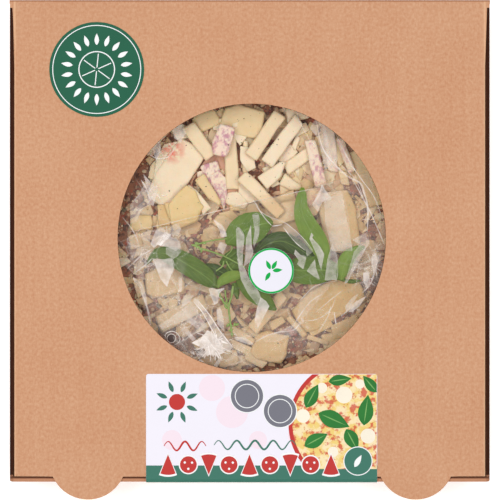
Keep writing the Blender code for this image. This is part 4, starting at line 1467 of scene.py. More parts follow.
class PIZZA_OT_crumbs(bpy.types.Operator):
    """Crumbs, shreds and flecks strewn over the sauce and the cheese"""

    bl_idname = "pizza.crumbs"
    bl_label = "Crumbs"

    def execute(self, context):
        seed = context.scene.pizza_food.crumb_seed
        rng = random.Random(seed)
        self.scatter = tree_scatter()
        self.shade = PouchShade()
        sauce = bpy.data.objects["sauce_surface"].data
        cheese = joined([bpy.data.objects[name].data.copy() for name in cut_pieces()])
        light = finish_chips()
        for name, sizes, density, lie, order in SCATTERED:
            kinds = [chip_mesh(rng, *(side * MM for side in size)) for size in sizes]
            self.strew(name, sauce, kinds, light, self.whole_sauce, density, seed + order, "cheese", lie)
        kinds = [lump_mesh(rng, size * MM, stretch, 0.8) for size, stretch in CRUMB_SIZES]
        self.strew("sauce_crumbs", sauce, kinds, finish_crumb(), self.bare_sauce, 60000, seed, "sauce", 0.8)
        kinds = [shred_mesh(rng, long * MM, wide * MM) for long, wide in SHRED_SIZES]
        self.strew("sauce_shreds", sauce, kinds, light, self.bare_sauce, 5000, seed + 1, "cheese", 0.2)
        kinds = [lump_mesh(rng, size * MM, stretch, 0.4) for size, stretch in FLECK_SIZES]
        dark = Finish("flecks", 0.6)
        dark["Base Color"] = dark.mix(dark.stored("kind"), tint(58, 46, 34), tint(104, 92, 58))
        dark = dark.material
        self.strew("pepper_flecks", cheese, kinds, dark, self.upper_faces, 17000, seed + 2, "cheese", 0.5)
        return {"FINISHED"}

    def top_of_sauce(self, places, normals, reach):
        level = (places[:, 2] > SAUCE_LEVEL - 1.5 * MM) & (normals[:, 2] > 0.3)
        return level & (away_from(places, PIZZA_CENTRE) < reach)

    def whole_sauce(self, places, normals):
        covered = np.ones(len(places))
        for px, py, radius, amount in BARE_SPOTS:
            away = away_from(places, seen_at(px, py, SAUCE_LEVEL), radius * PHOTO_SCALE)
            covered *= 1 - amount * np.clip(2.2 - 1.6 * away, 0, 1)
        covered *= 1 - 0.35 * self.shade.at(places)
        return self.top_of_sauce(places, normals, 110 * MM) * covered

    def bare_sauce(self, places, normals):
        patches = np.clip(0.55 + noise_at(places, 16 * MM, 9.0), 0.05, 1)
        return self.top_of_sauce(places, normals, 112 * MM) * patches

    def upper_faces(self, places, normals):
        return (normals[:, 2] > 0.6) * np.clip(0.45 + noise_at(places, 20 * MM, 12.0), 0.02, 1)

    def strew(self, name, ground, kinds, finish, where, density, seed, slot, lie):
        """Strews pieces of some kinds over the ground, where a function says."""
        mesh = ground.copy()
        store(mesh, "strewn", where(vertex_array(mesh), vertex_array(mesh, True)))
        pieces = bpy.data.collections.new("kinds")
        for kind in kinds:
            pieces.objects.link(bpy.data.objects.new("kind", kind))
        made = run_tree(linked("carrier", mesh), self.scatter, Density=density, Seed=seed, Pieces=pieces,
                        Finish=finish, Lie=lie)
        for kind in list(pieces.objects):
            bpy.data.objects.remove(kind, do_unlink=True)
        bpy.data.collections.remove(pieces)
        store(made, "under_pouch", self.shade.at(vertex_array(made)))
        piece_object(name, made, finish, "base", smooth_angle=50)


# Film

FILM_TOP = 27.8 * MM
ZONES_SEEN_AT = 26 * MM
OVER_TRAY_FLOOR = 2.5 * MM


def draped(heights, ceiling, rounds=260):
    """A stretched sheet over the heights, which never sinks into them."""
    sheet = ceiling
    for _ in range(rounds):
        sheet = np.minimum(np.maximum(neighbours(sheet, mode="edge") / 4, heights), ceiling)
    return sheet


class Field:
    """Heights on a square grid over the pizza, read between its points too."""

    def __init__(self, values, cell, reach):
        self.values = values
        self.cell = cell
        self.reach = reach

    def at(self, x, y):
        grid = self.values
        u, v = (np.clip((place - middle + self.reach) / self.cell, 0, len(grid) - 1.001)
                for place, middle in ((x, PIZZA_CENTRE.x), (y, PIZZA_CENTRE.y)))
        i, j = u.astype(int), v.astype(int)
        a, b = u - i, v - j
        near = grid[i, j] * (1 - b) + grid[i, j + 1] * b
        far = grid[i + 1, j] * (1 - b) + grid[i + 1, j + 1] * b
        return near * (1 - a) + far * a


# Crumpled zones of the film in the photograph, with more haze and painted glare: middle, radius in pixels,
# and strength
CRUMPLED_ZONES = (
    (150, 250, 42, 0.9), (196, 330, 48, 1.0), (366, 268, 26, 0.9), (225, 345, 36, 0.8), (145, 190, 18, 0.6),
    (345, 170, 30, 0.35), (300, 310, 40, 0.45), (180, 290, 34, 0.9),
)


def zone_strength(places):
    """How crumpled the film is at each place, from 0 to 1."""
    strength = np.zeros(len(places))
    for px, py, radius, amount in CRUMPLED_ZONES:
        away = away_from(places, seen_at(px, py, ZONES_SEEN_AT), radius * PHOTO_SCALE)
        strength = np.maximum(strength, amount * np.clip(1.25 - away, 0, 1))
    return strength


def ridges(places, size, seed):
    """Sharp folds: noise turned over at its middle."""
    return 1 - 2 * np.abs(noise_at(places, size, seed))


class PIZZA_OT_wrap(bpy.types.Operator):
    """Clear film stretched over the whole pizza, with crumpled zones and pleats at the rim"""

    bl_idname = "pizza.wrap"
    bl_label = "Wrap film"

    def execute(self, context):
        settings = context.scene.pizza_film
        field = self.sheet_heights(2 * MM, 142 * MM)
        rings, spokes, drops = 104, 460, 8
        edge = PIZZA_RADIUS - 4 * MM
        turns = [tau * spoke / spokes for spoke in range(spokes)]
        rays = [Vector((cos(turn), sin(turn), 0)) for turn in turns]
        pleats = [0.7 * MM * sin(turn * 64 + 2 * sin(turn * 5)) for turn in turns]
        bm = bmesh.new()
        rows = []
        for ring in range(1, rings + 1):
            rows.append([bm.verts.new(PIZZA_CENTRE + ray * edge * (ring / rings)) for ray in rays])
        for drop in range(1, drops + 1):
            out = edge + (3.5 * MM + 3.2 * MM * sin(drop / drops * pi / 2))
            reaches = [out + pleat * drop / drops for pleat in pleats]
            rows.append([bm.verts.new(PIZZA_CENTRE + ray * reach) for ray, reach in zip(rays, reaches)])
        skin(bm, rows, closed=True, flip=True)
        bm.faces.new(rows[0])
        mesh = mesh_from(bm)
        places = vertex_array(mesh)
        zone = zone_strength(places)
        fold = ridges(places, 13 * MM, 2.0) * 0.6 + ridges(places, 6 * MM, 6.0) * 0.4
        lift = (0.15 + 1.2 * zone) * MM * np.clip(fold, -0.2, 1)
        level = np.minimum(field.at(places[:, 0], places[:, 1]) + lift, FILM_TOP)
        step = (np.arange(len(places)) - rings * spokes) // spokes + 1
        inward = edge / np.maximum(away_from(places, PIZZA_CENTRE), edge)
        rim = field.at(PIZZA_CENTRE.x + (places[:, 0] - PIZZA_CENTRE.x) * inward,
                       PIZZA_CENTRE.y + (places[:, 1] - PIZZA_CENTRE.y) * inward)
        fallen = rim - (rim - 4 * MM) * (1 - np.cos(np.clip(step, 0, drops) / drops * pi / 2))
        places[:, 2] = np.where(step > 0, fallen, level)
        put_vertices(mesh, places)
        # Haze of the film and its painted glare, stronger in the crumpled zones
        store(mesh, "haze", zone)
        film = finish_film("wrap_film", settings.clearness, settings.crease_strength, 13 * MM)
        piece_object("wrap_film", mesh, film, "base", smooth_angle=70)
        return {"FINISHED"}

    def sheet_heights(self, cell, reach):
        """Heights of a sheet over the food and under the pouch, found by looking down and up."""
        marks = [-reach + index * cell for index in range(int(2 * reach / cell) + 1)]
        spots = [[PIZZA_CENTRE + Vector((x, y, 0)) for y in marks] for x in marks]
        trees = [sight_tree(name) for name in ["crust_surface", "sauce_surface"] + cut_pieces()]
        food = [[laid_on(trees, spot.x, spot.y, OVER_TRAY_FLOOR) for spot in row] for row in spots]
        heights = np.array(food) + 0.5 * MM
        ceiling = np.full_like(heights, FILM_TOP)
        pouch = pouch_tree()
        for i, row in enumerate(spots):
            for j, spot in enumerate(row):
                hit = pouch.ray_cast(spot, UP)[0]
                if hit is not None:
                    ceiling[i, j] = max(hit.z - 0.4 * MM, heights[i, j] - 0.3 * MM)
        return Field(draped(heights, ceiling), cell, reach)


# Painted highlights along thin creases of the film in the photograph: width in pixels, cover, and then points
# in pixels
CREASE_HIGHLIGHTS = (
    (1.0, 0.4, 129, 232, 173, 222, 217, 211, 256, 201, 297, 192, 318, 188),
    (1.8, 0.55, 316, 119, 324, 150, 345, 174, 360, 183, 364, 193, 367, 203, 368, 216, 367, 233),
    (1.0, 0.5, 362, 219.5, 370, 219),
    (1.0, 0.6, 334, 130, 349, 160, 362, 180, 373, 195, 381, 213, 386, 226),
    (1.3, 0.5, 352, 178, 369, 209.5, 377, 227, 385, 246),
    (1.1, 0.65, 252, 199, 256, 204, 259, 209.5, 265.5, 219, 272, 226),
    (1.0, 0.65, 272, 226.2, 277, 225.6, 282.5, 224.6),
    (0.9, 0.6, 283, 227, 289, 235, 296, 243, 305, 250.5),
    (0.8, 0.45, 254, 205, 264, 214, 275, 219, 286, 223.5, 302, 237, 312, 249.6),
    (0.8, 0.35, 296, 108, 300, 122, 309, 138, 318, 150),
    (1.8, 0.4, 140, 290, 146, 303.5, 149, 316, 150.5, 326),
    (1.4, 0.45, 127, 268.5, 140, 257, 152, 249),
    (1.2, 0.5, 132.5, 274.7, 145.7, 264.7, 152.4, 258),
    (1.1, 0.4, 122, 217, 131, 228, 139, 243),
    (1.6, 0.45, 255, 342, 266, 336, 279, 332, 293, 330, 302, 321),
    (1.1, 0.4, 290, 330, 308, 304, 323, 293),
    (0.9, 0.4, 302, 321, 317, 319, 330, 310, 336, 296),
    (1.3, 0.5, 334, 312, 336, 325),
    (1.0, 0.4, 300, 300, 313, 287, 322, 284),
    (0.9, 0.4, 316, 312, 330, 300, 343, 290),
    (1.2, 0.4, 318, 332, 327, 318, 331, 305),
    (0.8, 0.4, 338, 162, 355, 179, 365, 202),
    (0.9, 0.5, 147, 152, 156, 158, 167, 157, 175, 148),
    (1.6, 0.5, 141, 180, 146, 188, 150, 200),
    (0.8, 0.65, 165, 340, 166, 334, 170, 331.5, 174, 331.5, 178, 334, 180, 338, 179, 342, 173, 346),
    (1.2, 0.8, 198, 300, 210.5, 316, 219.5, 330, 232.7, 347),
    (1.0, 0.75, 193.5, 301.5, 203, 313, 214, 333, 224.6, 350.7),
    (1.0, 0.35, 160, 345, 166, 352, 172, 360),
    (1.0, 0.4, 196, 352, 199, 358, 203, 362),
    (1.4, 0.5, 371, 262, 374, 272, 370, 284, 362, 293),
    (1.2, 0.5, 379, 256, 376, 268, 377, 278),
    (1.1, 0.4, 357, 300, 349, 309, 341, 316),
)

# Pale glares of folded film in the photograph: cover, and then corners in pixels
GLARES = (
    (0.5, 150.5, 244, 156, 231, 160.5, 227, 165, 230, 169, 234, 160, 243, 154, 248),
    (0.85, 156, 244, 166, 232, 171, 235, 161, 246),
    (0.42, 161, 246, 170, 236, 178, 240, 181, 247, 176, 251, 168, 247),
    (0.34, 166, 247.5, 181, 248.5, 178, 256, 173.5, 259, 166, 254),
    (0.55, 152.4, 258.5, 163, 259.5, 172.3, 259, 174, 269, 170.6, 277, 167.3, 287, 160.7, 279, 155.7, 266.4),
    (0.12, 127, 268, 140, 256, 152, 249, 153, 252, 146, 262, 133, 274),
    (0.4, 132.5, 277, 141, 283, 146, 296, 147.5, 310, 145, 304.5, 141, 290.5, 134, 282),
    (0.3, 138.7, 235.7, 149, 230, 150, 241.5, 143, 240),
    (0.28, 130, 205, 138, 195, 148, 180, 150, 190, 144, 205, 136, 222, 130, 224),
    (0.36, 143, 174, 152, 184, 157, 190, 153, 206, 146, 203, 149, 192, 146, 184),
    (0.36, 172, 128, 180, 122, 186, 133, 180, 142, 174, 138),
    (0.4, 152, 148, 157, 141, 160, 152, 156, 161),
    (0.33, 310, 128, 316, 120, 324, 124, 330, 152, 331, 165, 325, 170, 321, 150, 318, 138),
    (0.4, 322.7, 184.5, 325, 190, 331, 198, 322, 202, 318, 212, 312, 205, 320, 196),
    (0.2, 320, 128, 328, 118, 334, 132, 338, 160, 332, 172, 326, 160),
    (0.3, 352, 240, 365.5, 233.6, 369, 241.6, 367.3, 246, 355.7, 257.7, 346.8, 282.7, 344.1, 283.6, 349.5,
     265.7, 353.9, 251.4, 360, 244.3),
    (0.46, 236.1, 229, 238.6, 227.4, 244, 235.7, 243, 250, 242.7, 264.7, 239.4, 265.5, 237, 254.8),
    (0.46, 251, 225, 251.4, 244.8, 253, 252.3, 249.4, 262.2, 243.6, 266.8, 245.2, 259, 246, 238.2),
    (0.32, 236.9, 258, 243.6, 266.4, 249.4, 279.6, 257, 289, 262, 300, 258, 306, 247.7, 292.9, 241, 279.6),
    (0.34, 252.1, 214.8, 258.4, 214.8, 258.8, 233.6, 254, 247, 253, 242, 254.8, 230),
    (0.5, 311, 232.7, 312.9, 235.4, 312, 238, 319.1, 246, 324, 254.1, 321, 270.2, 316.4, 255, 309.3, 239),
    (0.4, 295, 249.6, 300.4, 255, 305.7, 257.7, 303, 269.3, 296.8, 264, 298.6, 260.4, 294, 254),
    (0.46, 314.6, 259.5, 315.5, 267.5, 319.1, 278.7, 313.8, 276.4, 306.6, 271, 311, 264),
    (0.36, 332.5, 243.4, 337, 258.6, 336, 280, 324.5, 280, 327.1, 259.5, 330.7, 247),
    (0.22, 283.4, 227.3, 287, 223.8, 302.1, 237.1, 312, 249.6, 311, 253.2, 306.6, 256.8, 305.7, 250.5, 295,
     241.6),
    (0.6, 213, 219, 223, 226.6, 227, 236.5, 221, 237.3, 219.5, 230),
    (0.36, 217, 250, 220.4, 242.3, 227, 245, 223, 254),
    (0.55, 208.7, 288.7, 213, 288, 217, 289.6, 224.5, 288, 219.5, 293, 218, 303, 214.5, 304.5, 212, 298.7),
    (0.34, 181.4, 308, 184.7, 296, 193.8, 295.4, 190, 301.5),
    (0.55, 371, 258, 375, 253, 378, 262, 375, 272, 372, 267),
    (0.42, 363, 273, 368, 272, 370, 283, 366, 287, 362.5, 281),
    (0.45, 348, 312, 356, 302, 366, 296, 360, 305, 352, 312),
    (0.36, 194.3, 298, 198, 300, 210.4, 316, 219.3, 330, 232.7, 347, 229, 352.5, 224.6, 350.7, 214, 333,
     203.2, 313, 193.4, 301.6),
    (0.75, 207.7, 330, 214.8, 334.6, 222, 345.4, 223.8, 352.5, 219.3, 351, 217, 356, 212.1, 354, 206.8, 356,
     205, 349, 198.8, 346, 191.6, 342.7, 196, 340, 199.6, 339, 204, 334.6),
    (0.3, 181.8, 309.6, 191.6, 301.6, 198, 313, 203.2, 321, 206.8, 325.7, 200.5, 332, 191.6, 324, 184.5,
     320.4, 162, 329.3, 159.5, 325.7),
    (0.42, 183.6, 326.6, 185.4, 326.6, 196, 339, 192.5, 341, 182.7, 329.3),
    (0.4, 201.4, 347, 204, 352.5, 199.6, 358, 199, 352),
    (0.42, 216.6, 309.6, 220.2, 308, 223.8, 319.5, 224.6, 332, 217.5, 324),
    (0.45, 234.5, 336.4, 245, 338, 253, 343.6, 251.4, 345, 243.4, 342.7, 236, 340),
    (0.52, 269.3, 306, 257.7, 327.5, 255, 321, 257, 308, 260.4, 297, 266, 301),
    (0.4, 213, 366.8, 220.2, 357, 223, 357, 217, 367),
    (0.2, 377, 256, 372.7, 262, 371.8, 269.3, 374.5, 274.6, 379, 265.7, 381.6, 253),
    (0.42, 363, 273, 369, 273, 366.4, 285.4, 363.8, 283.6),
    (0.35, 345, 306, 352, 298, 358, 294, 352, 305, 346, 313),
    (0.26, 324, 198, 342.5, 194, 351, 244, 352, 251, 332, 251, 325, 222),
    (0.4, 159, 138.5, 160.3, 148, 157, 156, 154.5, 148),
    (0.3, 133, 210, 146, 200, 155, 196, 152, 203, 140, 211),
    (0.3, 168, 229, 176, 224, 181, 229, 178, 236, 170, 235),
    (0.08, 127, 238, 136, 236, 140, 252, 131, 262, 126, 250),
    (0.4, 178.6, 277, 182, 278, 182, 291, 179.4, 292),
    (0.16, 300, 300, 316, 286, 330, 283, 322, 296, 305, 316, 296, 322),
    (0.22, 262, 336, 280, 331, 300, 322, 296, 334, 276, 342, 264, 342),
)

# Pinched places of the film, with spikes of painted highlight: middle, reach in pixels, number of spikes, and
# cover
BURSTS = (
    ((212, 344), 17, 46, 0.8), ((152, 193), 13, 8, 0.42), ((323, 191), 11, 7, 0.42),
    ((374, 266), 11, 9, 0.34), ((164, 236), 13, 7, 0.42), ((216, 293), 8, 6, 0.45), ((158, 148), 9, 5, 0.35),
    ((196, 356), 9, 8, 0.4), ((370, 282), 8, 6, 0.34), ((354, 306), 9, 7, 0.34), ((303, 324), 9, 7, 0.3),
)
FILM_SEEN_AT = 31 * MM
VENT_SEEN_AT = (171.5, 338.2)
VENT_RADIUS = 2.8 * MM


class PIZZA_OT_creases(bpy.types.Operator):
    """Folds of the film that catch the light, laid on the film"""

    bl_idname = "pizza.creases"
    bl_label = "Film creases"

    def execute(self, context):
        self.trees = [sight_tree("wrap_film"), sight_tree("pouch_film")]
        self.finish = finish_glare("film_fold")
        self.start()
        for width, cover, *points in CREASE_HIGHLIGHTS:
            self.add_ribbon(grouped(points), width, cover)
        for cover, *numbers in GLARES:
            corners = grouped(numbers)
            self.add_ribbon(corners[:len(corners) // 2 + 1], 0.7, 0.4 * cover + 0.16)
        self.add_bursts()
        self.end("film_creases")
        self.start()
        for cover, *corners in GLARES:
            self.add_patch([seen_at(*corner, FILM_SEEN_AT) for corner in grouped(corners)], cover)
        self.end("film_glares")
        self.make_vent()
        return {"FINISHED"}

    def start(self):
        self.bm = bmesh.new()
        self.layer = self.bm.verts.layers.float.new("cover")

    def end(self, name):
        piece_object(name, mesh_from(self.bm), self.finish, "base", smooth_angle=60)

    def level(self, x, y):
        return laid_on(self.trees, x, y, 20 * MM) + 0.15 * MM

    def add_vert(self, spot, rise, cover):
        """A vertex laid on the film."""
        vert = self.bm.verts.new((spot.x, spot.y, self.level(spot.x, spot.y) + rise))
        vert[self.layer] = cover
        return vert

    def add_bursts(self):
        """Short spikes of light that run out from each pinched place."""
        rng = random.Random(21)
        for (px, py), reach, count, cover in BURSTS:
            for index in range(count):
                turn = tau * (index + rng.uniform(-0.9, 0.9)) / count
                near, far = reach * rng.uniform(0.0, 0.5), reach * rng.uniform(0.45, 1.0)
                bend = rng.uniform(-0.3, 0.3)
                shift = [reach * rng.uniform(-0.22, 0.22) for _ in range(2)]
                steps = ((near, turn), ((near + far) / 2, turn + bend), (far, turn + 1.4 * bend))
                middle = (px + shift[0], py + shift[1])
                marks = [around(middle, away, degrees(way)) for away, way in steps]
                self.add_ribbon(marks, rng.uniform(0.7, 1.7), cover * rng.uniform(0.7, 1.1))

    def add_ribbon(self, pixels, width, cover):
        """A pale strip of painted highlight that follows the film, pointed at both ends."""
        places = [seen_at(*pixel, FILM_SEEN_AT) for pixel in pixels]
        route = smooth_route([Vector((place.x, place.y, 0)) for place in places], 7)
        rows = []
        for index, (place, run) in enumerate(zip(route, runs(route))):
            side = Vector((-run.y, run.x, 0))
            share = index / (len(route) - 1)
            taper = min(1, 6 * share, 6 * (1 - share)) * 0.8 + 0.2
            half = width * PHOTO_SCALE / 2 * taper * (1 + 0.45 * noise.noise(place / (5 * MM)))
            edge, ridge = (0.05 * MM, cover * 0.75), (0.25 * half + 0.05 * MM, cover * 1.1)
            rows.append([self.add_vert(place + side * across * half, *look)
                         for across, look in ((-1, edge), (0, ridge), (1, edge))])
        skin(self.bm, rows, flip=True)

    def add_patch(self, corners, cover):
        """A flat fold of film drawn as painted glare with sharp edges, laid on the film."""
        shape = bmesh.new()
        face = shape.faces.new([shape.verts.new((corner.x, corner.y, 0)) for corner in corners])
        if face.normal.z < 0 or sum_of_turns(corners) < 0:
            face.normal_flip()
        bmesh.ops.triangulate(shape, faces=shape.faces[:])
        for _ in range(4):
            long_edges = [edge for edge in shape.edges if edge.calc_length() > 2.5 * MM]
            if not long_edges:
                break
            bmesh.ops.subdivide_edges(shape, edges=long_edges, cuts=1)
            bmesh.ops.triangulate(shape, faces=shape.faces[:])
        copies = {}
        for vert in shape.verts:
            uneven = (0.95 if vert.is_boundary else 0.85) + 0.35 * noise.noise(vert.co / (9 * MM))
            copies[vert] = self.add_vert(vert.co, 0, cover * uneven)
        for face in shape.faces:
            self.bm.faces.new([copies[vert] for vert in face.verts])
        shape.free()

    def make_vent(self):
        """Small round vent that is punched in the wrap, with a raised rim."""
        middle = seen_at(*VENT_SEEN_AT, FILM_SEEN_AT)
        self.start()
        route = [Vector((x, y, self.level(x, y) + 0.3 * MM)) for x, y in circle(middle, VENT_RADIUS, 32)]
        # The rim is drawn in the pale glare finish, as a painted highlight
        tube(route + [route[0]], lambda share: 0.3 * MM, 6, into=self.bm)
        for vert in self.bm.verts:
            vert[self.layer] = 0.5
        self.end("wrap_vent_rim")
        dark, _ = finish_cloudy("vent_hole", 0.6, 2 * MM, tint(48, 26, 20), tint(66, 40, 32))
        level = self.level(middle.x, middle.y)
        hole = prism(circle(middle, VENT_RADIUS * 0.92, 32), level, level + 0.1 * MM)
        piece_object("wrap_vent_hole", mesh_from(hole), dark.material, "base")


# Leaves in the photograph: the share of the pouch's height, the shade, which draws a leaf lighter green below
# 0 and darker above 0, partly its own green and partly painted shade and haze, and then points of the midrib
# with the width there, all in pixels
LEAVES = {
    "left": (0.62, 0.3, 147, 264.5, 1, 152, 257, 6, 160, 253, 12, 174, 257, 19, 190, 266, 21, 204, 275.5, 19,
             213, 283, 12, 218, 287.5, 2),
    "top": (0.72, 0.0, 226.5, 244, 3, 232, 239, 19, 241, 232, 29, 251, 228, 32, 261, 224.5, 26, 268, 223, 15,
            273, 222.5, 2),
    "dark": (0.28, 0.85, 255, 253, 4, 267, 244.5, 16, 281, 241, 19, 294, 246, 17, 307, 254, 12, 319, 264, 6,
             326, 270, 1),
    "tall": (0.74, -0.25, 302.5, 187.5, 3, 302, 195, 9.5, 301, 205, 13, 303, 216, 18, 308, 227, 20.5, 315,
             238, 21.5, 321, 249, 18, 324.5, 260, 11, 326, 268, 3),
    "low_right": (0.45, 0.1, 284, 268, 12, 296, 270, 25, 308, 270.5, 28, 320, 270, 27, 330, 271, 21, 338, 275,
                  11, 345, 281, 2),
    "small_right": (0.55, -0.35, 365, 247, 2, 357, 250, 9, 349, 257, 15, 344, 266, 15, 342, 275, 9, 341, 280,
                    2),
    "small_middle": (0.8, -0.35, 217.5, 287.5, 2, 222, 281, 9, 229, 277, 11, 237, 275, 9, 245, 273, 2),
    "below": (0.5, 0.15, 238, 276, 8, 245, 284, 15, 254, 293, 18, 264, 300, 16, 271, 306, 9, 276, 310, 2),
    "dark_middle": (0.3, 0.85, 205, 265, 3, 213, 268, 9, 221, 272, 10, 229, 276, 7, 234, 278, 2),
    "down": (0.5, 0.35, 234, 283, 5, 236, 291, 6.5, 237.5, 299, 2),
    "tip_right": (0.45, 0.2, 345, 281, 3, 353, 281.5, 4, 361, 280.5, 1),
    "by_stem": (0.4, 0.4, 220, 264, 3, 227, 259, 10, 234, 254, 10, 240, 249, 3),
    "under_stem": (0.35, 0.3, 228, 276, 5, 232, 268, 12, 238, 260, 12, 243, 254, 4),
}

# Flower stems in the photograph: width and then points, in pixels
STEMS = (
    (1.5, 193, 245.6, 204.6, 242.3, 216.2, 239.8, 227, 238.8, 238, 238.6),
    (1.7, 193, 245, 199.6, 248, 212, 251.8, 224.5, 256.4, 237, 263, 246, 268),
    (1.3, 198, 246, 200, 249, 201.5, 251.5),
    (1.1, 232, 246.5, 231, 251, 226, 256),
    (1.8, 223.7, 261, 222.5, 266, 216, 271),
    (1.5, 226, 261, 230, 268, 233, 271),
    (2.0, 233, 286, 232, 295, 228.8, 306, 230, 320, 231, 327, 232.2, 336.5),
    (2.0, 218, 289, 220.5, 297, 225, 304, 228, 309),
    (1.4, 232, 289, 231, 298, 229, 307),
    (1.4, 225, 290, 226, 298, 228, 306),
)

# Flower buds on the stems, in pixels
BUDS = (193, 245, 196, 245.5, 198, 247, 200, 249, 201.5, 251, 197, 243.5, 204, 243, 228, 325, 231, 325.5,
        234.5, 324.5, 237, 324.5, 231, 330, 232, 334, 225, 303, 222, 299, 226, 307)
STEMS_SEEN_AT = 30 * MM


class PIZZA_OT_leaves(bpy.types.Operator):
    """Fresh leaves and flower stems that lie in the pouch"""

    bl_idname = "pizza.leaves"
    bl_label = "Leaves"

    def execute(self, context):
        self.room = pouch_tree()
        finish = finish_leaf(tuple(context.scene.pizza_food.leaf))
        for name, (level, shade, *numbers) in LEAVES.items():
            mesh = self.blade(grouped(numbers, 3), level)
            store(mesh, "shade", shade)
            mesh = modified(mesh, "SOLIDIFY", {"thickness": 0.35 * MM, "offset": 0})
            piece_object("leaf_" + name, mesh, finish, "base", smooth_angle=60)
        bm = bmesh.new()
        for width, *points in STEMS:
            radius = width / 2 * PHOTO_SCALE
            route = [self.in_stems(pixel) for pixel in grouped(points)]
            tube(smooth_route(route, 5), lambda share: radius * (1.15 - 0.4 * share), 8, into=bm)
        rng = random.Random(3)
        for pixel in grouped(BUDS):
            made = bmesh.ops.create_icosphere(bm, subdivisions=2, radius=rng.uniform(0.7, 1.1) * MM)
            place = Matrix.Translation(self.in_stems(pixel)) @ Matrix.Rotation(rng.uniform(0, 6), 4, "Z")
            bmesh.ops.transform(bm, matrix=place @ Matrix.Diagonal((1.6, 0.9, 0.8, 1)), verts=made["verts"])
        stem, cloud = finish_cloudy("stem", 0.5, 2.5 * MM, tint(112, 146, 58), tint(150, 176, 88), 3)
        stem.bump(cloud, 0.2 * MM, 0.5)
        piece_object("leaf_stems", mesh_from(bm), stem.material, "base", smooth_angle=60)
        return {"FINISHED"}

    def height(self, x, y, share):
        """A height between the pouch's lower and upper film at a place."""
        low = self.room.ray_cast(Vector((x, y, 0)), UP)[0]
        high = self.room.ray_cast(Vector((x, y, 0.1)), -UP)[0]
        if low is None or high is None:
            return sum(corner.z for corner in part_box("leaf_pouch")) * 0.5
        return low.z + (high.z - low.z) * min(max(share, 0.08), 0.92)

    def in_stems(self, pixel):
        place = seen_at(*pixel, STEMS_SEEN_AT)
        return Vector((place.x, place.y, self.height(place.x, place.y, 0.62)))

    def blade(self, points, level):
        """A cupped, slightly wavy leaf blade with its own UV map."""
        cross_steps = 12
        marks = []
        for px, py, width in points:
            place = seen_at(px, py, FILM_SEEN_AT)
            marks.append(Vector((place.x, place.y, width / 2 * PHOTO_SCALE)))
        route = smooth_route(marks, max(2, 30 // (len(marks) - 1)))
        flat = [mark.to_2d().to_3d() for mark in route]
        order = marks[0].x * 900
        bm = bmesh.new()
        spots = {}
        rows = []
        for i, (mark, run) in enumerate(zip(route, runs(flat))):
            u = i / (len(route) - 1)
            side = Vector((-run.y, run.x))
            half = max(mark.z, 0.3 * MM)
            row = []
            for j in range(cross_steps + 1):
                v = 2 * j / cross_steps - 1
                ragged = 1 + 0.03 * noise.noise(Vector((u * 14, v, order)))
                spot = mark.to_2d() + side * v * half * ragged
                cup = 0.16 * v * v - 0.04 * exp(-(v / 0.12) ** 2)
                wave = 0.10 * noise.noise(Vector((u * 5, v * 1.5, order)))
                share = level + 0.1 * sin(pi * u) - cup + wave
                row.append(bm.verts.new((spot.x, spot.y, self.height(spot.x, spot.y, share))))
                spots[row[-1]] = (u, j / cross_steps)
            rows.append(row)
        skin(bm, rows, flip=True)
        uv_layer = bm.loops.layers.uv.new("blade")
        for face in bm.faces:
            for loop in face.loops:
                loop[uv_layer].uv = spots[loop.vert]
        bmesh.ops.recalc_face_normals(bm, faces=bm.faces)
        if sum(face.normal.z for face in bm.faces) < 0:
            bmesh.ops.reverse_faces(bm, faces=bm.faces)
        return mesh_from(bm)


class PIZZA_OT_pouch(bpy.types.Operator):
    """Clear pouch round the leaves, and its small round sticker"""

    bl_idname = "pizza.pouch"
    bl_label = "Pouch"

    def execute(self, context):
        settings = context.scene.pizza_film
        mesh = finer_copy("leaf_pouch")
        places = vertex_array(mesh)
        middle = sum(corner.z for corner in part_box("leaf_pouch")) / 2
        over = np.clip((places[:, 2] - middle) / (2 * MM), -1, 1)
        crumple = ridges(places, 17 * MM, 3.0) * 0.5 + ridges(places, 8 * MM, 8.0) * 0.25
        places[:, 2] += 0.5 * MM * crumple * over
        put_vertices(mesh, places)
        # Haze of the pouch film and its painted glare, stronger in the crumpled zones
        store(mesh, "haze", 0.15 + 0.5 * zone_strength(places))
        film = finish_film("pouch_film", settings.clearness * 1.3, settings.crease_strength * 0.7, 17 * MM)
        pouch = piece_object("pouch_film", mesh, film, "base", smooth_angle=70)
        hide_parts("leaf_pouch")
        self.make_sticker(context.scene.pizza_print.film_thickness)
        return {"FINISHED"}

    def make_sticker(self, step):
        dress("pouch_sticker", finish_paper("pouch_sticker_paper", tint(236, 234, 244), 0.34, 0.02))
        low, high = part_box("pouch_sticker")
        centre = ((low + high) / 2).to_2d()
        marks = [ring_outline(centre, (high.x - low.x) / 2 - 0.7 * MM, 1.2 * MM, 80)]
        for turn, reach in ((60, 4.4), (5, 4.2), (115, 4.2), (240, 4.4)):
            marks.append(leaf_outline(around(centre, reach * MM, turn), 6.4 * MM, 2.6 * MM, turn))
        green = finish_paper("pouch_sticker_green", tint(20, 170, 76))
        flat_print("pouch_sticker_motif", marks, high.z + 0.01 * MM, green, "base", step)


# Stage

# Soft boxes round the camera: place across and along in metres, and share of the power
SOFT_BOXES = (("left", -0.68, 0.08, 1.25), ("right", 0.68, 0.05, 0.9), ("back", 0, 0.7, 0.85),
              ("front", 0, -0.7, 0.95))
SOFT_BOX_HEIGHT = 1.65
SOFT_BOX_SIDE = 0.6


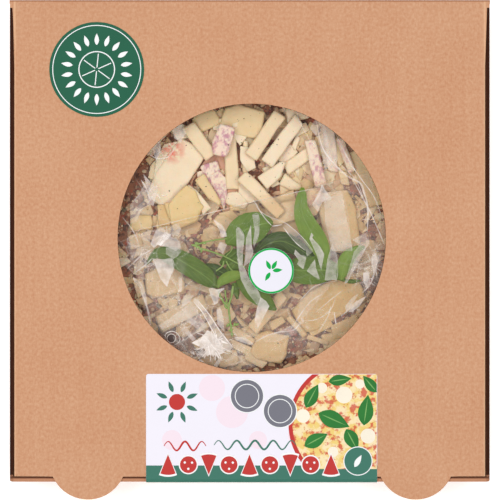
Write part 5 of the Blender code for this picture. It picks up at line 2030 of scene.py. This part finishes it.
class PIZZA_OT_stage(bpy.types.Operator):
    """Pale floor, soft studio light, and the camera straight above"""

    bl_idname = "pizza.stage"
    bl_label = "Stage"

    def execute(self, context):
        scene = context.scene
        settings = scene.pizza_stage
        floor = Finish("floor", 0.9, Emission_Strength=0.4)
        white = floor.mix(floor.noise(0.4), (0.93, 0.93, 0.93), (0.96, 0.96, 0.96))
        floor["Base Color"] = white
        floor["Emission Color"] = white
        bm = bmesh.new()
        bmesh.ops.create_grid(bm, x_segments=2, y_segments=2, size=3)
        ground = linked("floor", mesh_from(bm))
        ground.data.materials.append(floor.material)
        world = bpy.data.worlds.new("surround")
        scene.world = world
        world.use_nodes = True
        background = world.node_tree.nodes["Background"].inputs
        background["Color"].default_value = (1.0, 1.0, 1.0, 1)
        background["Strength"].default_value = settings.sky_strength
        aim = Vector((0, 0, LID_TOP))
        for name, x, y, share in SOFT_BOXES:
            lamp = bpy.data.lights.new("softbox_" + name, "AREA")
            lamp.shape = "SQUARE"
            lamp.size = SOFT_BOX_SIDE
            lamp.energy = settings.light_strength * share
            holder = linked("softbox_" + name, lamp)
            holder.location = Vector((x, y, SOFT_BOX_HEIGHT))
            holder.rotation_euler = (aim - holder.location).to_track_quat("-Z", "Y").to_euler()
        camera = bpy.data.cameras.new("camera")
        camera.sensor_width = 36
        camera.lens = camera.sensor_width * CAMERA_HEIGHT / (PHOTO_SIDE * PHOTO_SCALE)
        camera.clip_start = 0.05
        middle = seen_at(PHOTO_SIDE / 2, PHOTO_SIDE / 2, LID_TOP)
        scene.camera = linked("camera", camera)
        scene.camera.location = (middle.x, middle.y, LID_TOP + CAMERA_HEIGHT)
        scene.view_settings.view_transform = "Standard"
        scene.cycles.transparent_max_bounces = 24
        return {"FINISHED"}


# The add-on's own list of what it registers and runs

STEPS = (
    PIZZA_OT_board, PIZZA_OT_round_sticker, PIZZA_OT_label, PIZZA_OT_dough, PIZZA_OT_sauce, PIZZA_OT_cheese,
    PIZZA_OT_crumbs, PIZZA_OT_wrap, PIZZA_OT_leaves, PIZZA_OT_pouch, PIZZA_OT_creases, PIZZA_OT_stage,
)

SETTINGS = {
    "pizza_board": BoardSettings, "pizza_print": PrintSettings, "pizza_food": FoodSettings,
    "pizza_film": FilmSettings, "pizza_stage": StageSettings,
}


class PIZZA_PT_panel(bpy.types.Panel):
    """Lists the steps and the settings"""

    bl_idname = "PIZZA_PT_panel"
    bl_label = "Pizza box"
    bl_space_type = "VIEW_3D"
    bl_region_type = "UI"
    bl_category = "Pizza box"

    def draw(self, context):
        for step in STEPS:
            self.layout.operator(step.bl_idname)
        for name, group in SETTINGS.items():
            box = self.layout.box()
            box.label(text=group.__doc__)
            for label in group.__annotations__:
                box.prop(getattr(context.scene, name), label)


def register():
    for group in SETTINGS.values():
        bpy.utils.register_class(group)
    for step in STEPS:
        bpy.utils.register_class(step)
    bpy.utils.register_class(PIZZA_PT_panel)
    for name, group in SETTINGS.items():
        setattr(bpy.types.Scene, name, PointerProperty(type=group))


def unregister():
    for name in SETTINGS:
        delattr(bpy.types.Scene, name)
    bpy.utils.unregister_class(PIZZA_PT_panel)
    for step in STEPS:
        bpy.utils.unregister_class(step)
    for group in SETTINGS.values():
        bpy.utils.unregister_class(group)


def main():
    register()
    for build in (group_kraft_fibre, group_specks, group_patches, group_crinkle):
        build()
    for step in STEPS:
        group, action = step.bl_idname.split(".")
        getattr(getattr(bpy.ops, group), action)()


if __name__ == "__main__":
    main()
